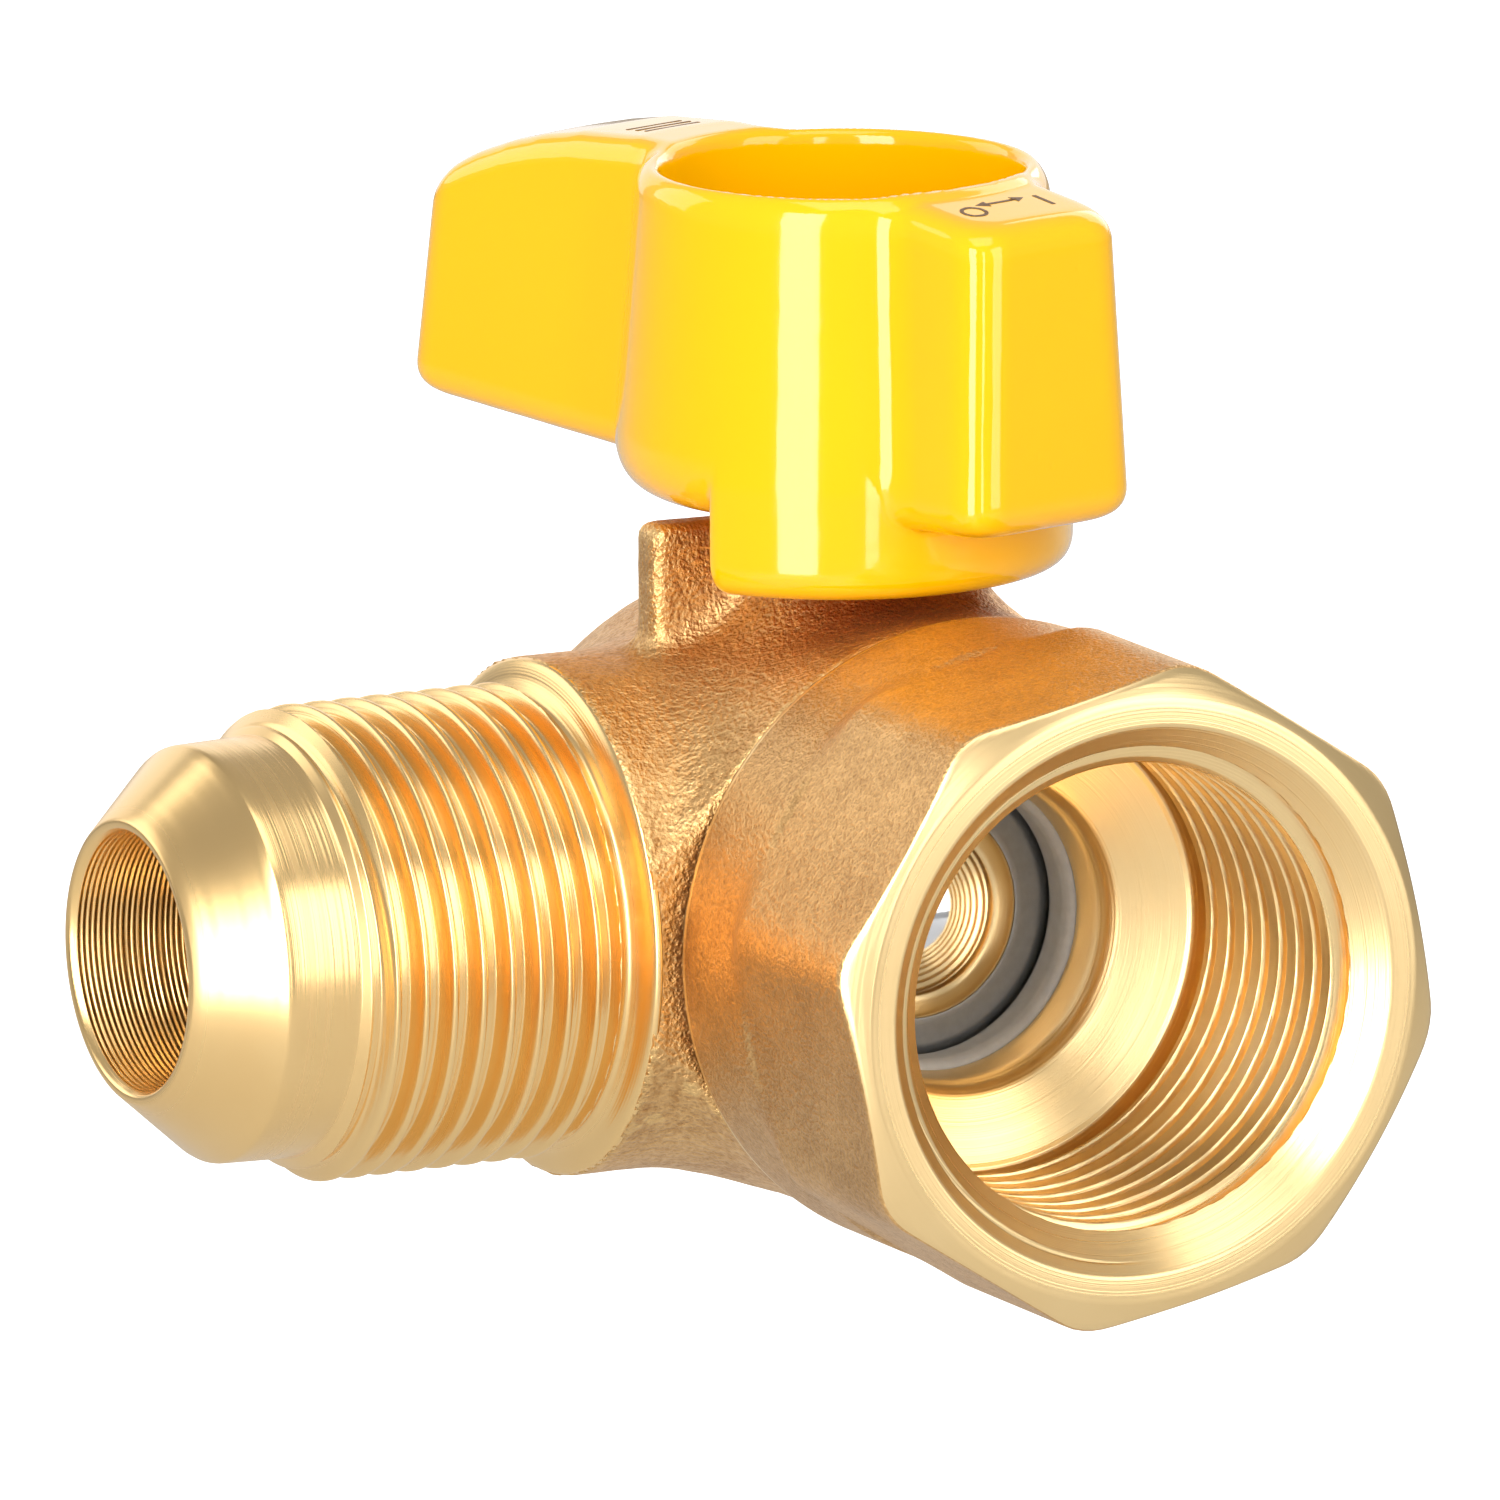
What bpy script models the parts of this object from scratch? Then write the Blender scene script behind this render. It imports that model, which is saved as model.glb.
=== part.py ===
"""Angle gas ball valve: 15/16-16 male flare outlet by 3/4 inch female pipe thread inlet.

Frame: the origin is the centre of the inlet's mouth, the inlet faces -Y, the flare
outlet faces -X and the stem stands along +Z. The ball's centre is where the three
axes meet. Sizes below are in millimetres and angles in degrees; Blender gets metres.

The moving pieces are modelled with the valve shut, under one empty on the stem's axis.
The empty is then turned to the handle's resting angle, a little open from its stop.
"""

import math

import bmesh
import bpy

MM = 0.001
MERGE = 0.00002

# Layout along the inlet's axis (+Y) and the outlet's axis (-X), from the row's origin.
BALL_Y = 32.2
REST_ANGLE = 15.0
CLEARANCE = 0.3
OVERRUN = 1.0

# End adapter: octagon, round collar and the spigot that screws into the body.
FLATS_ACROSS = 31.5
FLATS_TURN = 34.7
CORNER_R = 16.75
FACE_R = 15.2
FACE_CHAMFER_RISE = math.tan(math.radians(30.0))
OCTAGON_LENGTH = 11.8
COLLAR_R = 15.95
COLLAR_BLEND = 1.6
FLATS_CUTTER_R = 20.0
SHOULDER_Y = 19.1
SPIGOT_R = 13.0
SPIGOT_END_Y = 26.4
SEAL_INSET = 0.1
SEAL_GAP = 0.15

# Inlet bore: mouth chamfer, thread crests, relief, drilled cone and the lip that holds the seat.
MOUTH_R = 13.84
CREST_MOUTH_R = 11.7
CREST_INNER_R = 11.6
THREAD_END_Y = 15.5
RELIEF_R = 13.3
RELIEF_START_Y = 15.9
CONE_START_Y = 17.0
CONE_START_R = 11.64
LIP_R = 7.8
CONE_END_Y = 18.55
POCKET_R = 10.4
POCKET_DEPTH = 11.6

# Ball, seats and their O-rings. Seat distances are measured from the ball's centre.
BALL_R = 10.8
BALL_PORT_R = 5.75
BALL_SLOT_WIDTH = 3.2
BALL_SLOT_DEPTH = 3.0
SEAT_SPHERE_R = 11.05
SEAT_OUTER_R = 10.1
SEAT_BORE_R = 6.65
SEAT_BACK = 11.3
SEAT_BACK_R = 7.55
SEAT_BEVEL_END = 9.8
SEAT_STEP = 9.4
SEAT_STEP_R = 8.45
SEAT_FRONT_R = 9.6
SEAT_RING_MAJOR = 9.4
SEAT_RING_MINOR = 0.72
SEAT_RING_AT = 10.45

# Body: chamber about the inlet's axis, domed at the back.
RIM_Y = 19.7
RIM_R = 15.5
RIM_FACING_R = 16.6
RIM_CHAMFER = 0.4
RIM_FACING_DEPTH = 3.0
DOME_CENTRE_Y = 38.7
DOME_R = 15.0
DOME_END_Y = 52.2
SPIGOT_BORE_R = 13.25
SPIGOT_BORE_END_Y = 26.8
CHAMBER_R = 11.6
CHAMBER_END_Y = 40.2

# Flare outlet, as distances from the ball's centre along -X.
NECK_R = 12.95
NECK_END = 16.9
OUTLET_COLLAR_R = 12.9
OUTLET_COLLAR_END = 18.1
OUTLET_RELIEF_R = 11.0
THREAD_START = 19.3
FLARE_THREAD_R = 11.906
THREAD_CHAMFER = 0.8
THREAD_END = 32.6
NOSE_R = 10.6
NOSE_END = 36.4
TIP_R = 7.1
TIP_X = 40.0
OUTLET_BORE_R = 6.5
BORE_START = 4.0

# Stem boss and stop lug on top of the body.
BOSS_R = 6.1
BOSS_TOP_Z = 20.8
STEM_BORE_R = 3.9
STEM_SHOULDER_BORE_R = 5.4
STEM_SHOULDER_TOP_Z = 14.4
LUG_OUTER_X = -11.4
LUG_INNER_X = -4.0
LUG_FRONT = -1.5
LUG_BACK = 0.9
LUG_TOP_Z = 19.5
LUG_BASE_Z = 11.0
LUG_EDGE_R = 0.7

# Stem, its seals and the handle's fixing.
TANG_WIDTH = 2.6
TANG_LENGTH = 7.0
TANG_BASE_Z = 8.3
FLANGE_R = 5.0
FLANGE_BASE_Z = 11.4
FLANGE_TOP_Z = 12.9
STEM_R = 3.6
GROOVE_R = 2.5
GROOVE_HEIGHT = 1.4
GROOVE_CENTRES_Z = (16.3, 18.9)
STEM_RING_MAJOR = 3.2
STEM_RING_MINOR = 0.5
THRUST_WASHER_RADII = (3.9, 5.1)
THRUST_WASHER_Z = (13.2, 14.1)
DRIVE_R = 3.4
DRIVE_FLATS = 5.2
DRIVE_BASE_Z = 20.9
DRIVE_TOP_Z = 26.0
DRIVE_CUTTER = 6.0
DRIVE_FIT = 0.15
STEM_THREAD_R = 2.9
STEM_TOP_Z = 31.6
STEM_CHAMFER = 0.5
TANG_OVERLAP = 0.5
LOCK_WASHER_RADII = (3.2, 5.2)
LOCK_WASHER_Z = (26.8, 27.5)
NUT_FLATS = 10.0
NUT_BORE_R = 3.2
NUT_BASE_Z = 27.8
NUT_TOP_Z = 31.0

# Handle: drafted hub with a cup above, a socket below and a skirt that meets the stop lug.
HUB_TOP_Z = 36.9
HUB_TOP_R = 10.25
HUB_LOW_Z = 21.9
HUB_LOW_R = 11.5
HUB_BASE_Z = 20.2
HUB_EDGE_R = 1.7
SKIRT_R = 11.45
SKIRT_BASE_Z = 16.5
SKIRT_EDGE_R = 0.8
CUP_MOUTH_R = 9.05
CUP_FLOOR_R = 8.7
CUP_FLOOR_Z = 26.5
RIM_EDGE_R = 0.5
SOCKET_R = 9.2
SOCKET_TOP_Z = 21.2
CUTOUT_FROM = 83.3
CUTOUT_TO = 190.5
CUTOUT_R = 14.0
CUTOUT_SIDES = 10
FRONT_WING_OUTLINE = ((0.0, 36.5), (9.0, 36.4), (15.4, 35.7), (16.0, 20.2), (0.0, 20.2))
FRONT_WING_TOP_HALF = 5.0
FRONT_WING_LOW_HALF = 5.75
REAR_WING_OUTLINE = ((0.0, 36.5), (12.0, 36.7), (19.0, 35.9), (23.4, 34.6), (25.8, 33.2), (26.9, 31.6))
REAR_WING_LOW = ((27.6, 22.0), (12.0, 21.1), (0.0, 20.8))
REAR_WING_TOP_HALF = 4.25
REAR_WING_LOW_HALF = 5.2
WING_TOP_Z = 36.5
WING_LOW_Z = 20.2
WING_EDGE_R = 1.3

BRASS_CAST = ((0.50, 0.29, 0.11), 0.45, 1.0)
BRASS_TURNED = ((0.83, 0.61, 0.28), 0.2, 1.0)
CHROME = ((0.75, 0.75, 0.76), 0.06, 1.0)
YELLOW_PAINT = ((1.0, 0.60, 0.0), 0.12, 0.0)
PTFE = ((0.62, 0.63, 0.64), 0.5, 0.0)
NITRILE = ((0.02, 0.02, 0.02), 0.6, 0.0)
SEALANT = ((0.42, 0.45, 0.36), 0.55, 0.0)
ZINC_PLATE = ((0.66, 0.67, 0.68), 0.3, 1.0)

FINE_STEPS = 56
BORE_STEPS = 40
SMALL_STEPS = 32
SEAT_STEPS = 36
RING_STEPS = 28
RING_SIDES = 8


def clear_scene():
    """Remove every object of the startup scene."""
    for obj in list(bpy.data.objects):
        bpy.data.objects.remove(obj)


def new_collection(name):
    """Make a collection under the scene and return it."""
    made = bpy.data.collections.new(name)
    bpy.context.scene.collection.children.link(made)
    return made


def material(name, finish):
    """Make a Principled material from (colour, roughness, metallic)."""
    colour, roughness, metallic = finish
    made = bpy.data.materials.new(name)
    made.use_nodes = True
    shader = made.node_tree.nodes["Principled BSDF"]
    shader.inputs["Base Color"].default_value = (*colour, 1.0)
    shader.inputs["Roughness"].default_value = roughness
    shader.inputs["Metallic"].default_value = metallic
    return made


def place(obj, collection, finish=None):
    """Put an object in its collection and give it its material."""
    collection.objects.link(obj)
    if finish:
        obj.data.materials.append(finish)
    return obj


def turned(name, profile, steps=FINE_STEPS, closed=True):
    """Return a piece turned about local Z from (radius, height) points in millimetres.

    The profile runs down the outer side. A closed profile makes a ring, and an open one
    starts and ends on the axis.
    """
    mesh = bpy.data.meshes.new(name)
    points = [(radius * MM, 0.0, height * MM) for radius, height in profile]
    count = len(points)
    edges = [(i, (i + 1) % count) for i in range(count if closed else count - 1)]
    mesh.from_pydata(points, edges, [])
    obj = bpy.data.objects.new(name, mesh)
    screw = obj.modifiers.new("Turn", "SCREW")
    screw.steps = steps
    screw.render_steps = steps
    screw.use_merge_vertices = True
    screw.merge_threshold = MERGE
    screw.use_normal_calculate = False
    screw.use_smooth_shade = True
    return obj


def along_inlet(obj, y=0.0, turn=0.0):
    """Point local Z out of the inlet (-Y), with local Z = 0 at this distance behind the mouth."""
    obj.rotation_mode = "XYZ"
    obj.rotation_euler = (math.radians(90.0), 0.0, 0.0)
    obj.rotation_euler.rotate_axis("Z", math.radians(turn))
    obj.location = (0.0, y * MM, 0.0)
    return obj


def along_outlet(obj):
    """Point local Z out of the flare outlet (-X), with local Z = 0 at the ball's centre."""
    obj.rotation_euler = (0.0, math.radians(-90.0), 0.0)
    obj.location = (0.0, BALL_Y * MM, 0.0)
    return obj


def box(name, low, high):
    """Return a box between two corners in millimetres, in the object's own frame."""
    mesh = bpy.data.meshes.new(name)
    shape = bmesh.new()
    bmesh.ops.create_cube(shape, size=1.0)
    for vert in shape.verts:
        vert.co = [MM * ((lo + hi) / 2.0 + co * (hi - lo)) for lo, hi, co in zip(low, high, vert.co)]
    shape.to_mesh(mesh)
    shape.free()
    return bpy.data.objects.new(name, mesh)


def rod(name, radius, low, high, segments=SMALL_STEPS):
    """Return a cylinder or prism about local Z between two heights."""
    mesh = bpy.data.meshes.new(name)
    shape = bmesh.new()
    size = {"radius1": radius * MM, "radius2": radius * MM, "depth": (high - low) * MM}
    bmesh.ops.create_cone(shape, cap_ends=True, segments=segments, **size)
    bmesh.ops.translate(shape, verts=shape.verts, vec=(0.0, 0.0, MM * (low + high) / 2.0))
    shape.to_mesh(mesh)
    shape.free()
    return bpy.data.objects.new(name, mesh)


def joined(target, tool, tools, operation="UNION"):
    """Add a Boolean of a hidden tool object to the target."""
    tools.objects.link(tool)
    tool.hide_render = True
    tool.display_type = "WIRE"
    cut = target.modifiers.new(f"{operation.title()} {tool.name}", "BOOLEAN")
    cut.operation = operation
    cut.solver = "EXACT"
    cut.object = tool
    return target


def cut(target, tool, tools):
    """Cut a hidden tool object out of the target."""
    return joined(target, tool, tools, "DIFFERENCE")


def bevelled(obj, width, segments=2):
    """Round the object's edges."""
    bevel = obj.modifiers.new("Edges", "BEVEL")
    bevel.width = width * MM
    bevel.segments = segments
    bevel.limit_method = "ANGLE"
    return obj


def arc(centre, radius, start, end, count):
    """Return the points of an arc in a plane, with angles measured from its first axis."""
    points = []
    for i in range(count + 1):
        angle = math.radians(start + (end - start) * i / count)
        points.append((centre[0] + radius * math.cos(angle), centre[1] + radius * math.sin(angle)))
    return points


def end_adapter(parts, tools, finish):
    """Return the octagonal end that takes the supply pipe and closes the ball chamber."""
    chamfer_end = (CORNER_R - FACE_R) * FACE_CHAMFER_RISE
    profile = [
        (FACE_R, 0.0),
        (CORNER_R, -chamfer_end),
        (CORNER_R, -OCTAGON_LENGTH),
        (COLLAR_R, -OCTAGON_LENGTH - COLLAR_BLEND),
        (COLLAR_R, -SHOULDER_Y),
        (SPIGOT_R, -SHOULDER_Y),
        (SPIGOT_R, -SPIGOT_END_Y),
        (POCKET_R, -SPIGOT_END_Y),
        (POCKET_R, POCKET_DEPTH - BALL_Y),
        (LIP_R, POCKET_DEPTH - BALL_Y),
        (LIP_R, -CONE_END_Y),
        (CONE_START_R, -CONE_START_Y),
        (RELIEF_R, -CONE_START_Y),
        (RELIEF_R, -RELIEF_START_Y),
        (CREST_INNER_R, -THREAD_END_Y),
        (CREST_MOUTH_R, CREST_MOUTH_R - MOUTH_R),
        (MOUTH_R, 0.0),
    ]
    obj = along_inlet(turned("end_adapter", profile))
    place(obj, parts, finish)
    flat_corner = FLATS_ACROSS / 2.0 / math.cos(math.pi / 8.0)
    flats_end = -OCTAGON_LENGTH - COLLAR_BLEND
    ring = [
        (FLATS_CUTTER_R, OVERRUN),
        (FLATS_CUTTER_R, flats_end),
        (flat_corner, flats_end),
        (flat_corner, OVERRUN),
    ]
    flats = along_inlet(turned("adapter_flats", ring, steps=8), turn=FLATS_TURN)
    return cut(obj, flats, tools)


def seat_profile():
    """Return a seat ring's (radius, distance from the ball's centre) points, back face on top."""
    front = [math.degrees(math.acos(radius / SEAT_SPHERE_R)) for radius in (SEAT_FRONT_R, SEAT_BORE_R)]
    return [
        (SEAT_STEP_R, SEAT_BACK),
        (SEAT_STEP_R, SEAT_STEP),
        (SEAT_OUTER_R, SEAT_STEP),
        (SEAT_OUTER_R, SEAT_SPHERE_R * math.sin(math.radians(front[0]))),
        *arc((0.0, 0.0), SEAT_SPHERE_R, front[0], front[1], 5),
        (SEAT_BORE_R, SEAT_BEVEL_END),
        (SEAT_BACK_R, SEAT_BACK),
    ]


def mirrored_along(obj, behind):
    """Set a seat piece about the ball's centre, facing the inlet's side or the blind side."""
    obj.rotation_euler = (math.radians(-90.0 if behind else 90.0), 0.0, 0.0)
    obj.location = (0.0, BALL_Y * MM, 0.0)
    return obj


def seats(parts, ptfe, rubber):
    """Add the two seat rings and the O-ring behind each."""
    for side, behind in (("front", False), ("rear", True)):
        seat = turned(f"{side}_seat", seat_profile(), steps=SEAT_STEPS)
        place(mirrored_along(seat, behind), parts, ptfe)
        section = ring_profile(SEAT_RING_MAJOR, SEAT_RING_MINOR, SEAT_RING_AT)
        ring = turned(f"{side}_seat_o_ring", section, steps=RING_STEPS)
        place(mirrored_along(ring, behind), parts, rubber)


def ring_profile(major, minor, height):
    """Return an O-ring's round section, running down its outer side."""
    return arc((major, height), minor, 90.0, -270.0 + 360.0 / RING_SIDES, RING_SIDES - 1)


def joint_seal(parts, finish):
    """Return the thin ring of thread sealant squeezed out between the body and the adapter."""
    inner, outer = SPIGOT_BORE_R + SEAL_INSET, RIM_R + SEAL_INSET
    front, back = -SHOULDER_Y - SEAL_GAP, -RIM_Y + SEAL_GAP
    obj = turned("joint_seal", [(outer, front), (outer, back), (inner, back), (inner, front)])
    return place(along_inlet(obj), parts, finish)


def chamber_blank():
    """Return the body's chamber about the inlet's axis, with its machined rim and domed back."""
    last = math.degrees(math.asin((DOME_END_Y - DOME_CENTRE_Y) / DOME_R))
    profile = [
        (0.0, -RIM_Y),
        (RIM_R - RIM_CHAMFER, -RIM_Y),
        (RIM_R, -RIM_Y - RIM_CHAMFER),
        *arc((0.0, -DOME_CENTRE_Y), DOME_R, 0.0, -last, 8),
        (0.0, -DOME_END_Y),
    ]
    return along_inlet(turned("valve_body", profile, closed=False))


def outlet_blank():
    """Return the neck, thread, nose and flare cone of the outlet as one turned solid."""
    profile = [
        (0.0, TIP_X),
        (TIP_R, TIP_X),
        (NOSE_R, NOSE_END),
        (NOSE_R, THREAD_END),
        (FLARE_THREAD_R - THREAD_CHAMFER, THREAD_END),
        (FLARE_THREAD_R, THREAD_END - THREAD_CHAMFER),
        (FLARE_THREAD_R, THREAD_START + THREAD_CHAMFER),
        (OUTLET_RELIEF_R, THREAD_START),
        (OUTLET_RELIEF_R, OUTLET_COLLAR_END + CLEARANCE),
        (OUTLET_COLLAR_R, OUTLET_COLLAR_END),
        (OUTLET_COLLAR_R, NECK_END),
        (NECK_R, NECK_END),
        (NECK_R, 0.0),
        (0.0, 0.0),
    ]
    return along_outlet(turned("outlet_blank", profile, closed=False))


def chamber_bore():
    """Return the space inside the body for the spigot, the ball and the rear seat."""
    profile = [
        (0.0, RIM_FACING_DEPTH - RIM_Y),
        (RIM_FACING_R, RIM_FACING_DEPTH - RIM_Y),
        (RIM_FACING_R, -RIM_Y),
        (SPIGOT_BORE_R, -RIM_Y),
        (SPIGOT_BORE_R, -SPIGOT_BORE_END_Y),
        (CHAMBER_R, -SPIGOT_BORE_END_Y),
        (CHAMBER_R, -CHAMBER_END_Y),
        (POCKET_R, -CHAMBER_END_Y),
        (POCKET_R, -BALL_Y - POCKET_DEPTH),
        (0.0, -BALL_Y - POCKET_DEPTH),
    ]
    return along_inlet(turned("chamber_bore", profile, closed=False))


def stem_bore():
    """Return the stepped hole for the stem, its flange and its thrust washer."""
    profile = [
        (0.0, BOSS_TOP_Z + OVERRUN),
        (STEM_BORE_R, BOSS_TOP_Z + OVERRUN),
        (STEM_BORE_R, STEM_SHOULDER_TOP_Z),
        (STEM_SHOULDER_BORE_R, STEM_SHOULDER_TOP_Z),
        (STEM_SHOULDER_BORE_R, BALL_R - BALL_SLOT_DEPTH),
        (0.0, BALL_R - BALL_SLOT_DEPTH),
    ]
    obj = turned("stem_bore", profile, steps=SMALL_STEPS, closed=False)
    obj.location.y = BALL_Y * MM
    return obj


def valve_body(parts, tools, finish):
    """Return the forged body: chamber, flare outlet, stem boss and stop lug."""
    obj = place(chamber_blank(), parts, finish)
    joined(obj, outlet_blank(), tools)
    boss = rod("stem_boss", BOSS_R, BORE_START, BOSS_TOP_Z, segments=BORE_STEPS)
    boss.location.y = BALL_Y * MM
    joined(obj, boss, tools)
    low = (LUG_OUTER_X, BALL_Y + LUG_FRONT, LUG_BASE_Z)
    high = (LUG_INNER_X, BALL_Y + LUG_BACK, LUG_TOP_Z)
    lug = box("stop_lug", low, high)
    joined(obj, bevelled(lug, LUG_EDGE_R), tools)
    cut(obj, chamber_bore(), tools)
    outlet_bore = along_outlet(rod("outlet_bore", OUTLET_BORE_R, BORE_START, TIP_X + OVERRUN, segments=BORE_STEPS))
    cut(obj, outlet_bore, tools)
    cut(obj, stem_bore(), tools)
    return obj


def ball(parts, tools, finish):
    """Return the ball, with its right-angle passage and the slot that the stem turns."""
    outline = arc((0.0, 0.0), BALL_R, 90.0, -90.0, 18)
    obj = place(turned("ball", outline, steps=BORE_STEPS, closed=False), parts, finish)
    side = rod("ball_side_port", BALL_PORT_R, 0.0, BALL_R + OVERRUN)
    side.rotation_euler = (0.0, math.radians(-90.0), 0.0)
    cut(obj, side, tools)
    back = rod("ball_back_port", BALL_PORT_R, 0.0, BALL_R + OVERRUN)
    back.rotation_euler = (math.radians(-90.0), 0.0, 0.0)
    cut(obj, back, tools)
    half = BALL_SLOT_WIDTH / 2.0
    slot = box("ball_slot", (-half, -BALL_R, BALL_R - BALL_SLOT_DEPTH), (half, BALL_R, BALL_R + OVERRUN))
    cut(obj, slot, tools)
    return obj, (side, back, slot)


def stem(parts, tools, finish):
    """Return the stem: tang, flange, two seal grooves, double-D drive and threaded end."""
    grooves = []
    for centre in sorted(GROOVE_CENTRES_Z, reverse=True):
        top, base = centre + GROOVE_HEIGHT / 2.0, centre - GROOVE_HEIGHT / 2.0
        grooves += [(STEM_R, top), (GROOVE_R, top), (GROOVE_R, base), (STEM_R, base)]
    profile = [
        (0.0, STEM_TOP_Z),
        (STEM_THREAD_R - STEM_CHAMFER, STEM_TOP_Z),
        (STEM_THREAD_R, STEM_TOP_Z - STEM_CHAMFER),
        (STEM_THREAD_R, DRIVE_TOP_Z),
        (DRIVE_R, DRIVE_TOP_Z),
        (DRIVE_R, DRIVE_BASE_Z),
        (STEM_R, DRIVE_BASE_Z),
        *grooves,
        (STEM_R, FLANGE_TOP_Z),
        (FLANGE_R, FLANGE_TOP_Z),
        (FLANGE_R, FLANGE_BASE_Z),
        (0.0, FLANGE_BASE_Z),
    ]
    obj = place(turned("stem", profile, steps=SMALL_STEPS, closed=False), parts, finish)
    tang = box(
        "stem_tang",
        (-TANG_WIDTH / 2.0, -TANG_LENGTH / 2.0, TANG_BASE_Z),
        (TANG_WIDTH / 2.0, TANG_LENGTH / 2.0, FLANGE_BASE_Z + TANG_OVERLAP),
    )
    joined(obj, tang, tools)
    flats = []
    for side in (-1.0, 1.0):
        near, far = sorted((side * DRIVE_FLATS / 2.0, side * DRIVE_CUTTER))
        name = "drive_flat_low" if side < 0 else "drive_flat_high"
        flat = box(name, (near, -DRIVE_CUTTER, DRIVE_BASE_Z), (far, DRIVE_CUTTER, STEM_TOP_Z))
        cut(obj, flat, tools)
        flats.append(flat)
    return obj, (tang, *flats)


def washer(name, radii, heights, parts, finish):
    """Return a flat washer about the stem's axis, from (inner, outer) radii and (low, high) heights."""
    inner, outer = radii
    low, high = heights
    obj = turned(name, [(outer, high), (outer, low), (inner, low), (inner, high)], steps=SMALL_STEPS)
    return place(obj, parts, finish)


def handle_nut(parts, tools, finish):
    """Return the hexagon nut that holds the handle on the stem."""
    obj = rod("handle_nut", NUT_FLATS / math.sqrt(3.0), NUT_BASE_Z, NUT_TOP_Z, segments=6)
    place(obj, parts, finish)
    bore = rod("nut_bore", NUT_BORE_R, NUT_BASE_Z - OVERRUN, NUT_TOP_Z + OVERRUN)
    cut(obj, bore, tools)
    return obj, (bore,)


def wing(name, outline, side, top_half, low_half):
    """Return a handle wing from its side outline of (reach, height) points, drafted in width."""
    curve = bpy.data.curves.new(name, "CURVE")
    curve.dimensions = "2D"
    curve.fill_mode = "BOTH"
    curve.extrude = 0.5
    spline = curve.splines.new("POLY")
    spline.points.add(len(outline) - 1)
    for point, (reach, height) in zip(spline.points, outline):
        point.co = (reach, height, 0.0, 1.0)
    spline.use_cyclic_u = True
    flat = bpy.data.objects.new(name, curve)
    bpy.context.scene.collection.objects.link(flat)
    bpy.context.view_layer.update()
    mesh = bpy.data.meshes.new_from_object(flat.evaluated_get(bpy.context.evaluated_depsgraph_get()))
    bpy.data.objects.remove(flat)
    shape = bmesh.new()
    shape.from_mesh(mesh)
    bmesh.ops.remove_doubles(shape, verts=shape.verts, dist=0.001)
    for vert in shape.verts:
        reach, height, across = vert.co
        share = (WING_TOP_Z - height) / (WING_TOP_Z - WING_LOW_Z)
        half = top_half + (low_half - top_half) * share
        vert.co = (2.0 * across * half * MM, side * reach * MM, height * MM)
    bmesh.ops.dissolve_limit(shape, angle_limit=math.radians(1.0), verts=shape.verts, edges=shape.edges)
    bmesh.ops.recalc_face_normals(shape, faces=shape.faces)
    shape.to_mesh(mesh)
    shape.free()
    return bevelled(bpy.data.objects.new(name, mesh), WING_EDGE_R)


def handle(parts, tools, finish):
    """Return the die-cast handle: hub, cup, socket, skirt with its stop cut-out and two wings."""
    hub = [
        (0.0, HUB_TOP_Z),
        (HUB_TOP_R - RIM_EDGE_R, HUB_TOP_Z),
        (HUB_TOP_R, HUB_TOP_Z - RIM_EDGE_R),
        *arc((HUB_LOW_R - HUB_EDGE_R, HUB_LOW_Z), HUB_EDGE_R, 0.0, -90.0, 3),
        (0.0, HUB_BASE_Z),
    ]
    obj = place(turned("handle", hub, closed=False), parts, finish)
    skirt_profile = [
        (SKIRT_R, HUB_LOW_Z),
        (SKIRT_R, SKIRT_BASE_Z + SKIRT_EDGE_R),
        (SKIRT_R - SKIRT_EDGE_R, SKIRT_BASE_Z),
        (SOCKET_R, SKIRT_BASE_Z),
        (SOCKET_R, HUB_LOW_Z),
    ]
    skirt = turned("handle_skirt", skirt_profile)
    cutout = skirt_cutout()
    cut(skirt, cutout, tools)
    joined(obj, skirt, tools)
    front = wing("front_wing", FRONT_WING_OUTLINE, -1.0, FRONT_WING_TOP_HALF, FRONT_WING_LOW_HALF)
    rear = wing("rear_wing", REAR_WING_OUTLINE + REAR_WING_LOW, 1.0, REAR_WING_TOP_HALF, REAR_WING_LOW_HALF)
    joined(obj, front, tools)
    joined(obj, rear, tools)
    cup_profile = [
        (0.0, HUB_TOP_Z + OVERRUN),
        (CUP_MOUTH_R + RIM_EDGE_R, HUB_TOP_Z + OVERRUN),
        (CUP_MOUTH_R + RIM_EDGE_R, HUB_TOP_Z),
        (CUP_MOUTH_R, HUB_TOP_Z - RIM_EDGE_R),
        (CUP_FLOOR_R, CUP_FLOOR_Z),
        (0.0, CUP_FLOOR_Z),
    ]
    cup = turned("handle_cup", cup_profile, closed=False)
    cut(obj, cup, tools)
    socket = rod("handle_socket", SOCKET_R, SKIRT_BASE_Z - OVERRUN, SOCKET_TOP_Z, segments=40)
    cut(obj, socket, tools)
    hole = rod("handle_hole", DRIVE_R + DRIVE_FIT, SOCKET_TOP_Z - OVERRUN, CUP_FLOOR_Z + OVERRUN)
    flat = MM * (DRIVE_FLATS / 2.0 + DRIVE_FIT)
    for vert in hole.data.vertices:
        vert.co.x = max(-flat, min(flat, vert.co.x))
    cut(obj, hole, tools)
    return obj, (skirt, cutout, front, rear, cup, socket, hole)


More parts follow.
